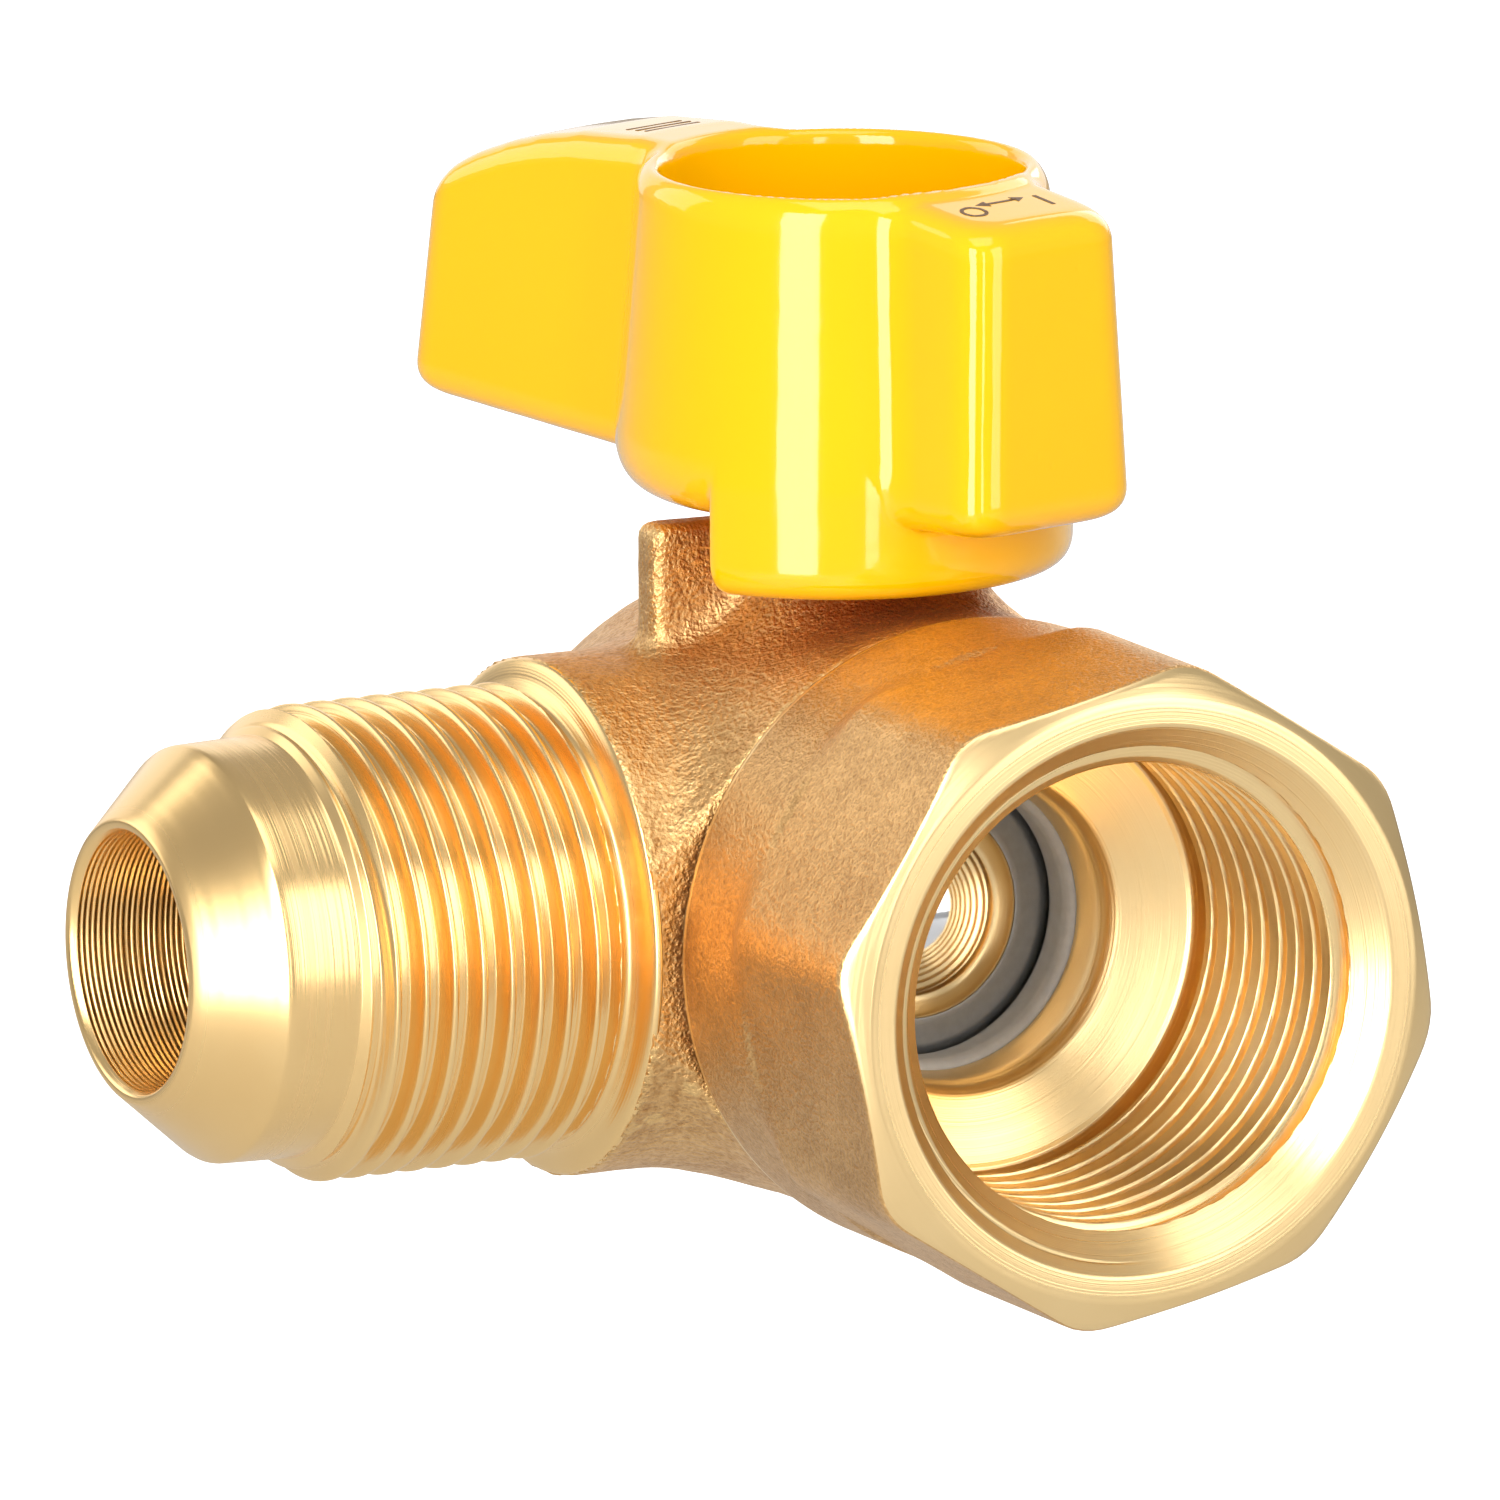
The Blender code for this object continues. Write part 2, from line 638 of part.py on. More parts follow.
def skirt_cutout():
    """Return the sector that frees the skirt between its two stop faces."""
    mesh = bpy.data.meshes.new("skirt_cutout")
    shape = bmesh.new()
    low = SKIRT_BASE_Z - OVERRUN
    corners = [(0.0, 0.0), *arc((0.0, 0.0), CUTOUT_R, CUTOUT_FROM, CUTOUT_TO, CUTOUT_SIDES)]
    base = [shape.verts.new((x * MM, y * MM, low * MM)) for x, y in corners]
    floor = shape.faces.new(base)
    top = bmesh.ops.extrude_face_region(shape, geom=[floor])
    raised = [item for item in top["geom"] if isinstance(item, bmesh.types.BMVert)]
    bmesh.ops.translate(shape, verts=raised, vec=(0.0, 0.0, (HUB_LOW_Z + OVERRUN - low) * MM))
    bmesh.ops.recalc_face_normals(shape, faces=shape.faces)
    shape.to_mesh(mesh)
    shape.free()
    return bpy.data.objects.new("skirt_cutout", mesh)


def stem_axis_empty(parts):
    """Return the empty on the stem's axis that carries everything the handle turns."""
    empty = bpy.data.objects.new("stem_axis", None)
    empty.empty_display_size = 0.02
    empty.location = (0.0, BALL_Y * MM, 0.0)
    empty.rotation_euler = (0.0, 0.0, math.radians(REST_ANGLE))
    parts.objects.link(empty)
    return empty


def main():
    """Build the valve."""
    clear_scene()
    parts = new_collection("gas_valve")
    tools = new_collection("gas_valve_cutters")
    cast = material("cast_brass", BRASS_CAST)
    bright = material("turned_brass", BRASS_TURNED)
    chrome = material("chrome_plate", CHROME)
    yellow = material("yellow_paint", YELLOW_PAINT)
    ptfe = material("ptfe", PTFE)
    rubber = material("nitrile", NITRILE)
    sealant = material("sealant", SEALANT)
    plated = material("zinc_plate", ZINC_PLATE)

    valve_body(parts, tools, cast)
    end_adapter(parts, tools, cast)
    joint_seal(parts, sealant)
    seats(parts, ptfe, rubber)

    moving = []
    for piece, helpers in (
        ball(parts, tools, chrome),
        stem(parts, tools, bright),
        handle(parts, tools, yellow),
        handle_nut(parts, tools, plated),
    ):
        moving += [piece, *helpers]
    for name, height in zip(("stem_o_ring_lower", "stem_o_ring_upper"), GROOVE_CENTRES_Z):
        ring = turned(name, ring_profile(STEM_RING_MAJOR, STEM_RING_MINOR, height), steps=RING_STEPS)
        moving.append(place(ring, parts, rubber))
    for name, radii, heights, finish in (
        ("stem_thrust_washer", THRUST_WASHER_RADII, THRUST_WASHER_Z, ptfe),
        ("handle_lock_washer", LOCK_WASHER_RADII, LOCK_WASHER_Z, plated),
    ):
        moving.append(washer(name, radii, heights, parts, finish))
    axis = stem_axis_empty(parts)
    for piece in moving:
        piece.parent = axis


if __name__ == "__main__":
    main()
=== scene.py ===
"""Angle gas ball valve: its looks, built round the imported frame.

The row frame's origin is the centre of the inlet's mouth. The inlet faces -Y, the flare outlet
faces -X and the stem stands along +Z. Sizes are in millimetres and angles in degrees, and each
finished mesh is in metres.
"""

import logging
import math
from abc import ABC, abstractmethod
from dataclasses import astuple, dataclass, field
from enum import Enum
from itertools import product

import bmesh
import bpy
import numpy as np
from mathutils import Matrix, Vector


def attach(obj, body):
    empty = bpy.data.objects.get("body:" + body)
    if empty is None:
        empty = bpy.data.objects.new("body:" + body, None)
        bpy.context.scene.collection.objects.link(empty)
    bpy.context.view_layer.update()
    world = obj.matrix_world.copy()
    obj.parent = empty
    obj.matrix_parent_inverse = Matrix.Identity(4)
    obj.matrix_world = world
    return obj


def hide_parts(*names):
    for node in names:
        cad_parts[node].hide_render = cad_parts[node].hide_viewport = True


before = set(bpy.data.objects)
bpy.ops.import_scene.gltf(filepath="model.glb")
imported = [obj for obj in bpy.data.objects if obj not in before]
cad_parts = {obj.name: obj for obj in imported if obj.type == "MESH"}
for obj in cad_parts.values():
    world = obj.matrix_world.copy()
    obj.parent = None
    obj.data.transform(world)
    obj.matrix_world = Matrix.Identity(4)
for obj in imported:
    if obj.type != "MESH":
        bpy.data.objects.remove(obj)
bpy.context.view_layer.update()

LOG = logging.getLogger("gas_valve")
MM = 0.001
BALL_Y = 32.2
REST_ANGLE = 15.0
SHARP_ANGLE = math.radians(40.0)
TURNED_SHARP_ANGLE = math.radians(75.0)
LEVER_SHARP_ANGLE = math.radians(55.0)
THREAD_STEP = 0.045
BALL_CENTRE = Matrix.Translation((0.0, BALL_Y * MM, 0.0))
AT_REST = BALL_CENTRE @ Matrix.Rotation(math.radians(REST_ANGLE), 4, "Z")

Array = np.ndarray
Colour = tuple[float, float, float]
Points = list[tuple[float, float]]


class Body(Enum):
    """The rigid bodies of the valve."""

    VALVE = "body"
    HANDLE = "handle"
    BALL = "ball"


class Axis(Enum):
    """The axes that turned pieces are made about, each with its origin's distance along +Y."""

    INLET = ((1.0, 0.0, 0.0), (0.0, 0.0, 1.0), (0.0, -1.0, 0.0), 0.0)
    OUTLET = ((0.0, 0.0, 1.0), (0.0, 1.0, 0.0), (-1.0, 0.0, 0.0), BALL_Y)
    STEM = ((1.0, 0.0, 0.0), (0.0, 1.0, 0.0), (0.0, 0.0, 1.0), BALL_Y)

    def matrix(self, turn: float = 0.0) -> Matrix:
        """Return the matrix from the axis's own millimetres to the row frame's metres.

        Args:
            turn: how far the piece is turned about its own axis, in degrees.
        """
        first, second, third, offset = self.value
        centre = Matrix.Translation((0.0, offset * MM, 0.0))
        place = centre @ Matrix((first, second, third)).transposed().to_4x4()
        return place @ Matrix.Rotation(math.radians(turn), 4, "Z") @ Matrix.Scale(MM, 4)


# ---------------------------------------------------------------- node trees


class Graph:
    """Adds nodes to one tree and wires them."""

    def __init__(self, tree: bpy.types.NodeTree) -> None:
        """Work on this tree."""
        self.tree = tree

    def add(self, kind: str, **settings: object) -> bpy.types.Node:
        """Add a node and set its properties.

        Args:
            kind: Blender's name for the node type.
            settings: the properties to set on it.

        Returns:
            The new node.
        """
        node = self.tree.nodes.new(kind)
        for key, value in settings.items():
            setattr(node, key, value)
        return node

    def feed(self, socket: bpy.types.NodeSocket, value: object) -> None:
        """Link a socket to the value if that is a socket, or set it to the value."""
        if isinstance(value, bpy.types.NodeSocket):
            self.tree.links.new(value, socket)
        else:
            socket.default_value = value

    def math(self, operation: str, *values: object) -> bpy.types.NodeSocket:
        """Return the result of a Math node on sockets or numbers."""
        node = self.add("ShaderNodeMath", operation=operation)
        for socket, value in zip(node.inputs, values):
            self.feed(socket, value)
        return node.outputs[0]

    def remap(
        self, value: object, low: object, high: object, to: tuple[float, float], curve: str = "LINEAR"
    ) -> bpy.types.NodeSocket:
        """Return the value moved from one range to another, and held inside it."""
        node = self.add("ShaderNodeMapRange", interpolation_type=curve)
        for name, number in (("Value", value), ("From Min", low), ("From Max", high)):
            self.feed(node.inputs[name], number)
        node.inputs["To Min"].default_value, node.inputs["To Max"].default_value = to
        return node.outputs["Result"]

    def noise(self, vector: object, size: object, detail: float = 3.0) -> bpy.types.NodeSocket:
        """Return noise from 0 to 1 whose features are about this many millimetres across."""
        node = self.add("ShaderNodeTexNoise")
        self.feed(node.inputs["Vector"], vector)
        self.feed(node.inputs["Scale"], self.math("DIVIDE", 1.0 / MM, size))
        node.inputs["Detail"].default_value = detail
        return node.outputs["Fac"]

    def mix(self, share: object, first: object, second: object) -> bpy.types.NodeSocket:
        """Return two colours mixed by a share from 0 to 1."""
        node = self.add("ShaderNodeMix", data_type="RGBA")
        for socket, value in ((node.inputs[0], share), (node.inputs[6], first), (node.inputs[7], second)):
            self.feed(socket, (*value, 1.0) if isinstance(value, tuple) and len(value) == 3 else value)
        return node.outputs[2]


def effect_group(name: str, size: str, default: float, *outputs: str) -> tuple[Graph, dict, dict]:
    """Make a shader group that takes a vector and one size, and puts out numbers.

    Args:
        name: the group's name.
        size: the name of its size input.
        default: the size input's default.
        outputs: the names of its outputs.

    Returns:
        The graph, its input sockets by name, and its output sockets by name.
    """
    tree = bpy.data.node_groups.new(name, "ShaderNodeTree")
    tree.interface.new_socket(name="Vector", in_out="INPUT", socket_type="NodeSocketVector")
    number = tree.interface.new_socket(name=size, in_out="INPUT", socket_type="NodeSocketFloat")
    number.default_value = default
    for label in outputs:
        tree.interface.new_socket(name=label, in_out="OUTPUT", socket_type="NodeSocketFloat")
    graph = Graph(tree)
    start, end = graph.add("NodeGroupInput"), graph.add("NodeGroupOutput")
    return graph, {s.name: s for s in start.outputs if s.name}, {s.name: s for s in end.inputs if s.name}


class Effects:
    """The shader groups that several finishes share."""

    def __init__(self) -> None:
        """Build each effect once."""
        self.grain = self._grain()
        self.turning = self._turning()
        self.patina = self._patina()
        self.edges = self._edges()

    def _grain(self) -> bpy.types.NodeTree:
        """Return the blasted skin of a forging: packed dimples with finer grit on them."""
        graph, given, result = effect_group("blasted_grain", "Grain", 0.3, "Height")
        cells = graph.add("ShaderNodeTexVoronoi", feature="SMOOTH_F1")
        graph.feed(cells.inputs["Vector"], given["Vector"])
        graph.feed(cells.inputs["Scale"], graph.math("DIVIDE", 1.0 / MM, given["Grain"]))
        cells.inputs["Smoothness"].default_value = 0.6
        broad = graph.noise(given["Vector"], graph.math("MULTIPLY", given["Grain"], 2.2))
        fine = graph.noise(given["Vector"], graph.math("MULTIPLY", given["Grain"], 0.45), 2.0)
        dimples = graph.math("ADD", graph.math("MULTIPLY", cells.outputs["Distance"], 0.55), broad)
        graph.feed(result["Height"], graph.math("MULTIPLY_ADD", fine, 0.35, dimples))
        return graph.tree

    def _turning(self) -> bpy.types.NodeTree:
        """Return the fine rings that a lathe tool leaves round Z, on faces and on barrels alike."""
        graph, given, result = effect_group("turning_marks", "Pitch", 0.12, "Height", "Tone")
        parts = graph.add("ShaderNodeSeparateXYZ")
        graph.feed(parts.inputs[0], given["Vector"])
        x, y, z = parts.outputs
        squares = graph.math("ADD", graph.math("MULTIPLY", x, x), graph.math("MULTIPLY", y, y))
        place = graph.math("ADD", graph.math("SQRT", squares), z)
        density = graph.math("DIVIDE", 1.0 / MM, given["Pitch"])
        heights = []
        for share in (1.0, 0.23):
            rings = graph.add("ShaderNodeTexNoise", noise_dimensions="1D")
            graph.feed(rings.inputs["W"], place)
            graph.feed(rings.inputs["Scale"], graph.math("MULTIPLY", density, share))
            rings.inputs["Detail"].default_value = 2.0
            heights.append(rings.outputs["Fac"])
        graph.feed(result["Height"], graph.math("MULTIPLY_ADD", heights[1], 0.6, heights[0]))
        graph.feed(result["Tone"], heights[1])
        return graph.tree

    def _patina(self) -> bpy.types.NodeTree:
        """Return the slow change of tone that handling and storage leave."""
        graph, given, result = effect_group("patina", "Patch", 5.0, "Tone")
        broad = graph.noise(given["Vector"], given["Patch"], 4.0)
        graph.feed(result["Tone"], graph.remap(broad, 0.32, 0.68, (0.0, 1.0)))
        return graph.tree

    def _edges(self) -> bpy.types.NodeTree:
        """Return masks of the rubbed edges and of the hollows, where shade is painted."""
        graph, given, result = effect_group("edge_wear_and_hollow_shade", "Spread", 0.06, "Edge", "Hollow Shade")
        shape = graph.add("ShaderNodeNewGeometry").outputs["Pointiness"]
        rough = graph.remap(graph.noise(given["Vector"], 0.8), 0.3, 0.7, (0.55, 1.0))
        # Hollow Shade is the mask of concave places, where finishes paint shade darker.
        for label, flat, side in (("Edge", 0.51, "ADD"), ("Hollow Shade", 0.49, "SUBTRACT")):
            limit = graph.math(side, flat, given["Spread"])
            mask = graph.remap(shape, flat, limit, (0.0, 1.0))
            graph.feed(result[label], graph.math("MULTIPLY", mask, rough))
        return graph.tree


# ---------------------------------------------------------------- finishes


@dataclass(frozen=True)
class Look(ABC):
    """A finish: its colours and how rough it is."""

    name: str
    colour: Colour
    roughness: float
    axis: Axis = Axis.INLET

    def start(
        self, metallic: float
    ) -> tuple[Graph, bpy.types.Node, bpy.types.Material, bpy.types.NodeSocket]:
        """Make the material with its uniform values.

        Args:
            metallic: the shader's metallic value.

        Returns:
            The graph, the Principled node, the material, and Object coordinates centred on the axis.
        """
        made = bpy.data.materials.new(self.name)
        made.use_nodes = True
        graph = Graph(made.node_tree)
        shader = made.node_tree.nodes["Principled BSDF"]
        shader.inputs["Base Color"].default_value = (*self.colour, 1.0)
        shader.inputs["Roughness"].default_value = self.roughness
        shader.inputs["Metallic"].default_value = metallic
        made.diffuse_color = (*self.colour, 1.0)
        place = graph.add("ShaderNodeMapping", vector_type="TEXTURE")
        *rows, offset = self.axis.value
        place.inputs["Location"].default_value = (0.0, offset * MM, 0.0)
        place.inputs["Rotation"].default_value = tuple(Matrix(rows).transposed().to_euler("XYZ"))
        graph.feed(place.inputs["Vector"], graph.add("ShaderNodeTexCoord").outputs["Object"])
        return graph, shader, made, place.outputs["Vector"]

    @staticmethod
    def use(graph: Graph, tree: bpy.types.NodeTree, vector: object, **values: float) -> bpy.types.Node:
        """Place a shared effect and give it this finish's own values."""
        node = graph.add("ShaderNodeGroup", node_tree=tree)
        graph.feed(node.inputs["Vector"], vector)
        for label, value in values.items():
            node.inputs[label].default_value = value
        return node

    @staticmethod
    def bump(graph: Graph, shader: bpy.types.Node, height: object, strength: float, depth: float) -> None:
        """Raise the surface by a height whose full range is this many millimetres."""
        node = graph.add("ShaderNodeBump")
        node.inputs["Strength"].default_value = strength
        node.inputs["Distance"].default_value = depth * MM
        graph.feed(node.inputs["Height"], height)
        graph.feed(shader.inputs["Normal"], node.outputs["Normal"])

    @abstractmethod
    def build(self, effects: Effects) -> bpy.types.Material:
        """Return the finished material."""


@dataclass(frozen=True)
class ForgedBrass(Look):
    """Forged and shot-blasted brass, with painted shade in its dimples and bright on its rubbed edges."""

    # The colour of the painted shade in the grain's dimples.
    dark: Colour = (0.42, 0.20, 0.06)
    grain: float = 0.22
    depth: float = 0.115

    def build(self, effects: Effects) -> bpy.types.Material:
        """Return the finished material."""
        graph, shader, made, vector = self.start(1.0)
        grain = self.use(graph, effects.grain, vector, Grain=self.grain)
        patina = self.use(graph, effects.patina, vector, Patch=4.0)
        edges = self.use(graph, effects.edges, vector, Spread=0.05)
        hills = graph.remap(grain.outputs["Height"], 0.55, 1.15, (0.0, 1.0))
        # Painted shade: the grain's dimples are darkened towards the dark colour, mixed with random patina
        # tone.
        tone = graph.math("MULTIPLY_ADD", patina.outputs["Tone"], 0.35, graph.math("MULTIPLY", hills, 0.65))
        skin = graph.mix(tone, self.dark, self.colour)
        rubbed = tuple(min(1.0, part * 1.25) for part in self.colour)
        worn = graph.mix(graph.math("MULTIPLY", edges.outputs["Edge"], 0.6), skin, rubbed)
        graph.feed(shader.inputs["Base Color"], worn)
        rough = graph.math("MULTIPLY_ADD", hills, -0.12, self.roughness + 0.06)
        graph.feed(shader.inputs["Roughness"], rough)
        self.bump(graph, shader, grain.outputs["Height"], 1.0, self.depth)
        return made


@dataclass(frozen=True)
class TurnedBrass(Look):
    """Bright machined brass with the rings of the tool round its axis."""

    pitch: float = 0.15
    depth: float = 0.016

    def build(self, effects: Effects) -> bpy.types.Material:
        """Return the finished material."""
        graph, shader, made, vector = self.start(1.0)
        marks = self.use(graph, effects.turning, vector, Pitch=self.pitch)
        patina = self.use(graph, effects.patina, vector, Patch=7.0)
        edges = self.use(graph, effects.edges, vector, Spread=0.08)
        deep = tuple(part * share for part, share in zip(self.colour, (0.92, 0.85, 0.72)))
        toned = graph.mix(graph.math("MULTIPLY", patina.outputs["Tone"], 0.35), self.colour, deep)
        # Painted shade: concave places are darkened towards brown.
        hollow_shaded_brass = graph.mix(graph.math("MULTIPLY", edges.outputs["Hollow Shade"], 0.3), toned, (0.60, 0.36, 0.12))
        graph.feed(shader.inputs["Base Color"], hollow_shaded_brass)
        rough = graph.math("MULTIPLY_ADD", marks.outputs["Tone"], 0.12, self.roughness - 0.04)
        graph.feed(shader.inputs["Roughness"], rough)
        self.bump(graph, shader, marks.outputs["Height"], 0.8, self.depth)
        return made


@dataclass(frozen=True)
class GlossPaint(Look):
    """Thick glossy stove enamel with orange peel and a few dust pits."""

    def build(self, effects: Effects) -> bpy.types.Material:
        """Return the finished material."""
        graph, shader, made, vector = self.start(0.0)
        edges = self.use(graph, effects.edges, vector, Spread=0.06)
        patina = self.use(graph, effects.patina, vector, Patch=9.0)
        thin = tuple(part * share for part, share in zip(self.colour, (1.0, 0.86, 1.0)))
        shaded = graph.mix(graph.math("MULTIPLY", patina.outputs["Tone"], 0.15), self.colour, thin)
        # Painted shade: concave places are darkened towards deep orange.
        hollow_shaded_paint = graph.mix(graph.math("MULTIPLY", edges.outputs["Hollow Shade"], 0.5), shaded, (0.86, 0.42, 0.0))
        graph.feed(shader.inputs["Base Color"], hollow_shaded_paint)
        shader.inputs["Specular IOR Level"].default_value = 0.3
        shader.inputs["Coat Weight"].default_value = 0.7
        shader.inputs["Coat Roughness"].default_value = 0.05
        peel = graph.noise(vector, 2.6, 2.0)
        pits = graph.add("ShaderNodeTexVoronoi", feature="F1")
        graph.feed(pits.inputs["Vector"], vector)
        pits.inputs["Scale"].default_value = 1.0 / (2.4 * MM)
        dips = graph.remap(pits.outputs["Distance"], 0.0, 0.09, (-0.35, 0.0))
        self.bump(graph, shader, graph.math("ADD", peel, dips), 0.55, 0.05)
        return made


@dataclass(frozen=True)
class ChromePlate(Look):
    """Polished plate with faint swirls."""

    def build(self, effects: Effects) -> bpy.types.Material:
        """Return the finished material."""
        graph, shader, made, vector = self.start(1.0)
        patina = self.use(graph, effects.patina, vector, Patch=2.0)
        rough = graph.math("MULTIPLY_ADD", patina.outputs["Tone"], 0.03, self.roughness)
        graph.feed(shader.inputs["Roughness"], rough)
        return made


@dataclass(frozen=True)
class SoftSolid(Look):
    """Matt moulded or cured material: PTFE, rubber, sealant, ink and plated steel."""

    metallic: float = 0.0
    mottle: float = 0.25
    patch: float = 0.6
    depth: float = 0.02

    def build(self, effects: Effects) -> bpy.types.Material:
        """Return the finished material."""
        graph, shader, made, vector = self.start(self.metallic)
        patina = self.use(graph, effects.patina, vector, Patch=self.patch)
        grain = self.use(graph, effects.grain, vector, Grain=self.patch * 0.5)
        dark = tuple(part * 0.6 for part in self.colour)
        share = graph.math("MULTIPLY", patina.outputs["Tone"], self.mottle)
        graph.feed(shader.inputs["Base Color"], graph.mix(share, self.colour, dark))
        self.bump(graph, shader, grain.outputs["Height"], 0.5, self.depth)
        return made


class Paintbox:
    """Every finish of the valve, built once."""

    LOOKS = {
        "forged": ForgedBrass("forged_brass", (0.88, 0.56, 0.24), 0.42, Axis.OUTLET),
        "adapter": ForgedBrass(
            "blasted_brass", (0.80, 0.49, 0.20), 0.4, Axis.INLET,
            dark=(0.44, 0.24, 0.09), grain=0.17, depth=0.07,
        ),  # fmt: skip
        "inlet_turned": TurnedBrass("turned_brass_inlet", (0.98, 0.72, 0.36), 0.28, Axis.INLET),
        "outlet_turned": TurnedBrass("turned_brass_outlet", (0.98, 0.68, 0.31), 0.24, Axis.OUTLET),
        "stem_turned": TurnedBrass("turned_brass_stem", (0.92, 0.68, 0.35), 0.2, Axis.STEM),
        "paint": GlossPaint("yellow_enamel", (1.0, 0.525, 0.0), 0.1, Axis.STEM),
        "chrome": ChromePlate("chrome_plate", (0.78, 0.78, 0.79), 0.05, Axis.STEM),
        "ptfe": SoftSolid("grey_ptfe", (0.62, 0.63, 0.62), 0.4, Axis.INLET),
        "rubber": SoftSolid("nitrile_rubber", (0.02, 0.02, 0.021), 0.5, Axis.INLET),
        "sealant": SoftSolid(
            "cured_sealant", (0.20, 0.105, 0.035), 0.5, Axis.INLET, mottle=0.9, patch=0.5
        ),
        "ink": SoftSolid("mark_ink", (0.16, 0.075, 0.02), 0.45, Axis.STEM, patch=0.3, depth=0.01),
        "plated": SoftSolid(
            "zinc_plate", (0.66, 0.67, 0.69), 0.28, Axis.STEM, metallic=1.0, patch=1.5, depth=0.01
        ),
    }

    def __init__(self) -> None:
        """Build the shared effects and every finish."""
        effects = Effects()
        self.made = {key: look.build(effects) for key, look in self.LOOKS.items()}

    def __getitem__(self, key: str) -> bpy.types.Material:
        """Return one finish by its key."""
        return self.made[key]


# ---------------------------------------------------------------- turned pieces


@dataclass(frozen=True)
class Thread:
    """The sizes of a screw thread. A female thread's crest is inside its root."""

    pitch: float = 1.0
    crest: float = 0.0
    root: float = 0.0
    root_flat: float = 0.25
    crest_flat: float = 0.875
    taper: float = 0.0
    phase: float = 0.0
    feed_pitch: float = 0.3
    feed_depth: float = 0.0


class SpinTree:
    """Geometry Nodes that wrap a flat grid round an axis and cut a helical thread into it.

    The grid's points carry where they lie along the axis, their angle, the radius of the blank
    there, and how far the thread and the tool's feed marks reach them.
    """

    INPUTS = (
        "Pitch", "Crest Radius", "Root Radius", "Root Flat", "Crest Flat",
        "Taper", "Phase", "Feed Pitch", "Feed Depth",
    )  # fmt: skip
    EDGE = 0.05

    def __init__(self) -> None:
        """Build the tree."""
        tree = bpy.data.node_groups.new("spun_thread", "GeometryNodeTree")
        tree.interface.new_socket(name="Grid", in_out="INPUT", socket_type="NodeSocketGeometry")
        for label in self.INPUTS:
            tree.interface.new_socket(name=label, in_out="INPUT", socket_type="NodeSocketFloat")
        for label in ("Forged Finish", "Machined Finish"):
            tree.interface.new_socket(name=label, in_out="INPUT", socket_type="NodeSocketMaterial")
        tree.interface.new_socket(name="Piece", in_out="OUTPUT", socket_type="NodeSocketGeometry")
        self.tree = tree
        self._wire(Graph(tree))

    def _attribute(self, graph: Graph, name: str, kind: str = "FLOAT") -> bpy.types.NodeSocket:
        """Return a named attribute of the grid."""
        node = graph.add("GeometryNodeInputNamedAttribute", data_type=kind)
        node.inputs["Name"].default_value = name
        return next(socket for socket in node.outputs if socket.enabled and socket.name == "Attribute")

    def _wire(self, graph: Graph) -> None:
        """Wire the thread's rule, the wrapping and the finishes."""
        given = {socket.name: socket for socket in graph.add("NodeGroupInput").outputs if socket.name}
        angle, along = self._attribute(graph, "angle"), self._attribute(graph, "along")
        blank, threaded = self._attribute(graph, "blank"), self._attribute(graph, "threaded")
        pitches = graph.math("DIVIDE", along, given["Pitch"])
        turns = graph.math("SUBTRACT", pitches, graph.math("DIVIDE", angle, math.tau))
        place = graph.math("FRACT", graph.math("ADD", turns, given["Phase"]))
        ridge = graph.math("MULTIPLY", graph.math("ABSOLUTE", graph.math("SUBTRACT", place, 0.5)), 2.0)
        lift = graph.remap(ridge, given["Root Flat"], given["Crest Flat"], (0.0, 1.0), "SMOOTHSTEP")
        height = graph.math("SUBTRACT", given["Crest Radius"], given["Root Radius"])
        helix = graph.math("MULTIPLY_ADD", lift, height, given["Root Radius"])
        helix = graph.math("MULTIPLY_ADD", along, given["Taper"], helix)
        male = graph.math("SMOOTH_MIN", blank, helix, self.EDGE)
        female = graph.math("SMOOTH_MAX", blank, helix, self.EDGE)
        outside = graph.math("GREATER_THAN", height, 0.0)
        switch = graph.add("GeometryNodeSwitch", input_type="FLOAT")
        for socket, value in zip(switch.inputs, (outside, female, male)):
            graph.feed(socket, value)
        depth = graph.math("SUBTRACT", switch.outputs[0], blank)
        passes = graph.math("DIVIDE", along, given["Feed Pitch"])
        wave = graph.math("SINE", graph.math("MULTIPLY", passes, math.tau))
        ripples = graph.math("MULTIPLY", wave, given["Feed Depth"])
        feed = graph.math("MULTIPLY", ripples, self._attribute(graph, "fed"))
        radius = graph.math("ADD", graph.math("MULTIPLY_ADD", depth, threaded, blank), feed)
        point = graph.add("ShaderNodeCombineXYZ")
        graph.feed(point.inputs[0], graph.math("MULTIPLY", radius, graph.math("COSINE", angle)))
        graph.feed(point.inputs[1], graph.math("MULTIPLY", radius, graph.math("SINE", angle)))
        graph.feed(point.inputs[2], along)
        wrap = graph.add("GeometryNodeSetPosition")
        graph.feed(wrap.inputs["Geometry"], given["Grid"])
        graph.feed(wrap.inputs["Position"], point.outputs[0])
        real = graph.add("GeometryNodeRealizeInstances")
        graph.feed(real.inputs["Geometry"], wrap.outputs["Geometry"])
        forged = graph.add("GeometryNodeSetMaterial")
        machined = graph.add("GeometryNodeSetMaterial")
        graph.feed(forged.inputs["Geometry"], real.outputs["Geometry"])
        graph.feed(forged.inputs["Material"], given["Forged Finish"])
        graph.feed(machined.inputs["Geometry"], forged.outputs["Geometry"])
        graph.feed(machined.inputs["Selection"], self._attribute(graph, "machined", "BOOLEAN"))
        graph.feed(machined.inputs["Material"], given["Machined Finish"])
        graph.feed(graph.add("NodeGroupOutput").inputs["Piece"], machined.outputs["Geometry"])

    def values(self, thread: Thread) -> dict[str, float]:
        """Return the tree's inputs by name for this thread, whose fields are in the same order."""
        return dict(zip(self.INPUTS, astuple(thread)))


@dataclass
class Ring:
    """One row of points round the axis, with single numbers or one number for each angle."""

    along: Array | float
    radius: Array | float
    threaded: float = 0.0
    fed: float = 0.0
    machined: bool = True


